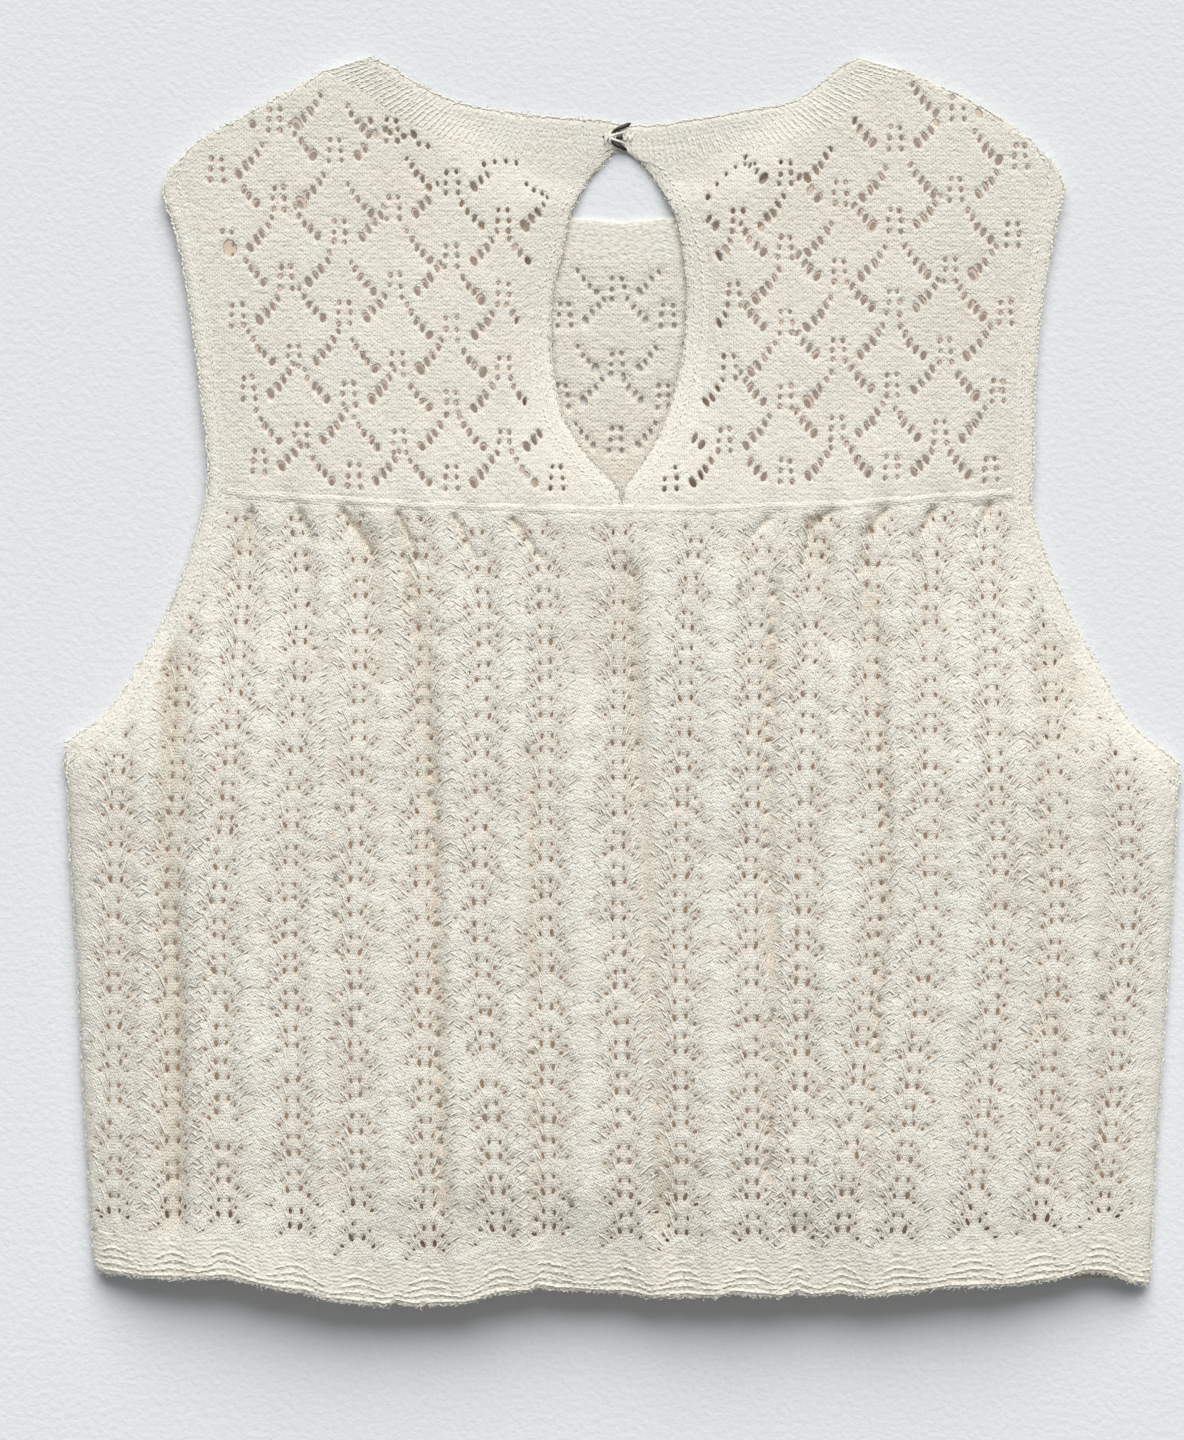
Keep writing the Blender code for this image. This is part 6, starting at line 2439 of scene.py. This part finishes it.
    def neck_ribs(self) -> None:
        """Knit stitches along the ribs of the neckband."""
        pattern = self.shop.pattern
        rng = np.random.default_rng(self.seed + 3)
        strand = Strand()
        for side in Side:
            outer, inner = evened(pattern.neckband_edges(side, True), self.rib_pitch)
            down = inner - outer
            wide = spans(down)
            for row in np.arange(1.5, 19.0, self.rib_pitch):
                keep = row < wide - 0.8
                plan = outer + down / wide[:, None] * row + rng.normal(0.0, 0.12, outer.shape)
                turn = heading(down) + rng.normal(0.0, 0.12, len(outer))
                sizes = varied(rng, len(plan), 0.15, self.RIB)
                self.shop.lay_on(strand, plan[keep], turn[keep], sizes[keep], -0.06)
        look = ("knit_rib", "back_neckband_left", "back_neckband_right")
        self.shop.yarn(look, "neckband_ribs", strand, sides=5, segments=4, bow=0.2, thin=0.6)

    def fuzz(self) -> None:
        """Loose fibres that stand out round the edges."""
        pattern = self.shop.pattern
        rng = np.random.default_rng(self.seed + 4)
        strand = Strand()
        curves = [pattern.hem_edge()]
        for side in Side:
            curves += [pattern.armhole_edges(side)[0], pattern.shoulder_parts(side)[1],
                       pattern.neckband_edges(side, True)[0], pattern.keyhole_edges(side)[0],
                       part_between(pattern.edge(SIDE_SEAM, side), 3.0, 200.0)]
        for curve in curves:
            plan = divided(curve, max(int(distances(curve)[-1] / self.fibre_pitch), 4))
            run = np.gradient(plan, axis=0)
            turn = heading(run) + rng.uniform(-1.3, 1.3, len(plan))
            sizes = rng.uniform(0.5, 1.4, (len(plan), 3)) * self.FIBRE
            plan = plan + rng.normal(0.0, 0.3, plan.shape)
            self.shop.lay_on(strand, plan, turn, sizes, rng.uniform(-0.8, 0.2, len(plan)))
        self.shop.yarn(("knit_plain",), "loose_fibres", strand, sides=3, segments=4, bow=0.4,
                       curl=2.0, thin=0.5)


@dataclass
class Closure:
    """A bent wire eye, a wire hook caught in it, and the threads that hold them."""

    shop: Workshop
    centre: tuple[float, float] = (-0.6, 208.6)
    eye_radius: float = 0.78
    hook_radius: float = 0.66

    EYE = ((3.4, 5.3, -0.5), (1.2, 4.3, 0.6), (-1.0, 3.3, 0.8), (-2.3, 2.4, 0.4),
           (-2.9, 1.2, 0.1), (-3.0, 0.0, 0.1), (-2.9, -1.2, 0.1), (-2.2, -2.4, 0.4),
           (-0.4, -3.3, 0.8), (2.1, -4.6, -0.5))
    HOOK = ((-6.4, 0.35, -0.4), (-4.4, 0.2, 0.1), (-2.4, 0.0, 0.5), (-0.9, 0.0, 1.0),
            (0.2, 0.0, 1.1), (0.5, 0.0, 0.6))

    def build(self) -> None:
        """Makes and dresses the eye, the hook and their threads."""
        for name, route, radius in (("eye", self.EYE, self.eye_radius),
                                    ("hook", self.HOOK, self.hook_radius)):
            points = np.array(route) + (*self.centre, 0.0)
            points[:, 2] += self.shop.drape.back(*points.T[:2]) + 0.2
            piece = self.wire(f"{name}_wire", points, radius)
            self.shop.dress(piece, "wire", "dark_metal", name)
        self.threads()

    @staticmethod
    def wire(name: str, route: Array, radius: float, sides: int = 10) -> bpy.types.Object:
        """A round wire along a route, rounded at its ends."""
        route = np.column_stack([
            np.interp(np.linspace(0, len(route) - 1, 41), np.arange(len(route)), route[:, axis])
            for axis in range(3)])
        for _ in range(6):
            route[1:-1] = (route[:-2] + 2 * route[1:-1] + route[2:]) / 4
        run = unit(np.gradient(route, axis=0))
        across = unit(np.cross(run, (0.0, 0.0, 1.0)))
        up = np.cross(across, run)
        turn = np.arange(sides) * TAU / sides
        ring = (across[:, None] * np.cos(turn)[None, :, None]
                + up[:, None] * np.sin(turn)[None, :, None]) * radius
        ring[[0, -1]] *= 0.45
        rows = route[:, None] + ring
        rows[0] -= run[0] * radius * 0.8
        rows[-1] += run[-1] * radius * 0.8
        grid = np.arange(len(route) * sides).reshape(len(route), sides)
        faces = grid_faces(grid, True)
        vertices = rows.reshape(-1, 3)
        if signed_volume(vertices, faces) < 0:
            faces = faces[:, ::-1]
        caps = [grid[0].tolist(), grid[-1][::-1].tolist()]
        first = set(map(tuple, faces[:, [0, 1]].tolist()))
        if (caps[0][0], caps[0][1]) in first:
            caps = [cap[::-1] for cap in caps]
        mesh = bpy.data.meshes.new(name)
        mesh.from_pydata((vertices * MM).tolist(), [], faces.tolist() + caps)
        mesh.validate()
        for face in mesh.polygons:
            face.use_smooth = True
        return linked(name, mesh)

    def threads(self) -> None:
        """Sewing turns over both wires, and gathered strands of the neckband beside them."""
        rng = np.random.default_rng(5)
        strand = Strand()
        for start, end, count, length in ((-5.6, -1.6, 7, 3.2), (1.6, 4.4, 4, 2.2)):
            x = self.centre[0] + np.linspace(start, end, count)
            plan = np.column_stack([x, np.full(count, self.centre[1])])
            plan = plan + rng.normal(0.0, 0.2, plan.shape)
            turn = math.pi / 2 + rng.normal(0.0, 0.3, count)
            sizes = varied(rng, count, 0.15, (0.95, length, 1.0))
            self.shop.lay_on(strand, plan, turn, sizes, 0.55 if start < 0 else 0.0)
        for rise in (-1.5, 1.5):
            plan = np.array([(self.centre[0] - 0.6, self.centre[1] + rise),
                             (self.centre[0] - 1.3, self.centre[1] + rise * 0.8)])
            self.shop.lay_on(strand, plan, np.full(2, 0.3 * np.sign(rise)),
                             np.tile((1.0, 4.2, 1.1), (2, 1)), 0.8)
        self.shop.yarn(("knit_rib",), "closure_threads", strand, sides=8, segments=7, bow=0.5,
                       thin=0.55)


@dataclass
class Studio:
    """A pale surface, soft light from above the neck, and a camera straight above."""

    frame_height: float = 0.5544
    camera_height: float = 3.0
    centre: tuple[float, float] = (-0.01155, -0.0154)
    sensor: float = 36.0

    def build(self) -> None:
        """Makes the floor, the lights and the camera."""
        mesh = bpy.data.meshes.new("floor")
        half = 4.0
        mesh.from_pydata([(-half, -half, 0.0), (half, -half, 0.0), (half, half, 0.0),
                          (-half, half, 0.0)], [], [(0, 1, 2, 3)])
        mesh.transform(Matrix.Translation((0.0, 0.0, -0.0002)))
        mesh.materials.append(FloorFinish().material())
        linked("floor", mesh)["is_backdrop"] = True
        self.window((0.10, 1.0, 0.90), 54.0, 3.58)
        world = bpy.data.worlds.new("soft_room")
        world.use_nodes = True
        sky = world.node_tree.nodes["Background"]
        sky.inputs["Color"].default_value = (0.93, 0.97, 1.0, 1.0)
        sky.inputs["Strength"].default_value = 0.25
        bpy.context.scene.world = world
        data = bpy.data.cameras.new("camera")
        data.sensor_width = self.sensor
        data.lens = self.sensor * self.camera_height / self.frame_height
        data.clip_end = 20.0
        camera = linked("camera", data)
        camera.location = (*self.centre, self.camera_height)
        bpy.context.scene.camera = camera
        bpy.context.scene.view_settings.view_transform = "Standard"

    @staticmethod
    def window(towards: tuple[float, float, float], width: float, strength: float) -> None:
        """A wide soft light, as even as that of a far window, from one direction."""
        data = bpy.data.lights.new("key_light", "SUN")
        data.angle = math.radians(width)
        data.energy = strength
        lamp = linked("key_light", data)
        lamp.location = towards
        lamp.rotation_euler = Vector(towards).to_track_quat("Z", "Y").to_euler()


def main() -> None:
    """Builds the whole garment and its setting."""
    logging.basicConfig(level=logging.INFO, format="%(message)s")
    for old in list(bpy.data.objects):
        bpy.data.objects.remove(old)
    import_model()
    solid_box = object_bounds()
    shop = Workshop()
    Studio().build()
    front, body, trims, yarn = Front(shop), Body(shop), Trims(shop), YarnWork(shop)
    for make in (front.yoke, front.body, front.hem, front.neckband):
        make()
    for side in Side:
        front.edging(side)
    Yoke(shop).build()
    for make in (body.build, body.build_hem, body.build_welt):
        make()
    for side in Side:
        trims.neckband(side)
        trims.keyhole_band(side)
        trims.armhole_edging(side)
    for make in (yarn.body_legs, yarn.hem_bumps, yarn.edge_loops, yarn.band_stitches,
                 yarn.neck_ribs, yarn.fuzz):
        make()
    Closure(shop).build()
    for sheet in SHEETS:
        sheet.declare(shop.areas[sheet.name])
    bpy.context.view_layer.update()
    boxes = {"solids": solid_box, "visual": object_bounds()}
    ({name: [[float(v) for v in corner] for corner in box]
               for name, box in boxes.items()})


if __name__ == "__main__":
    main()
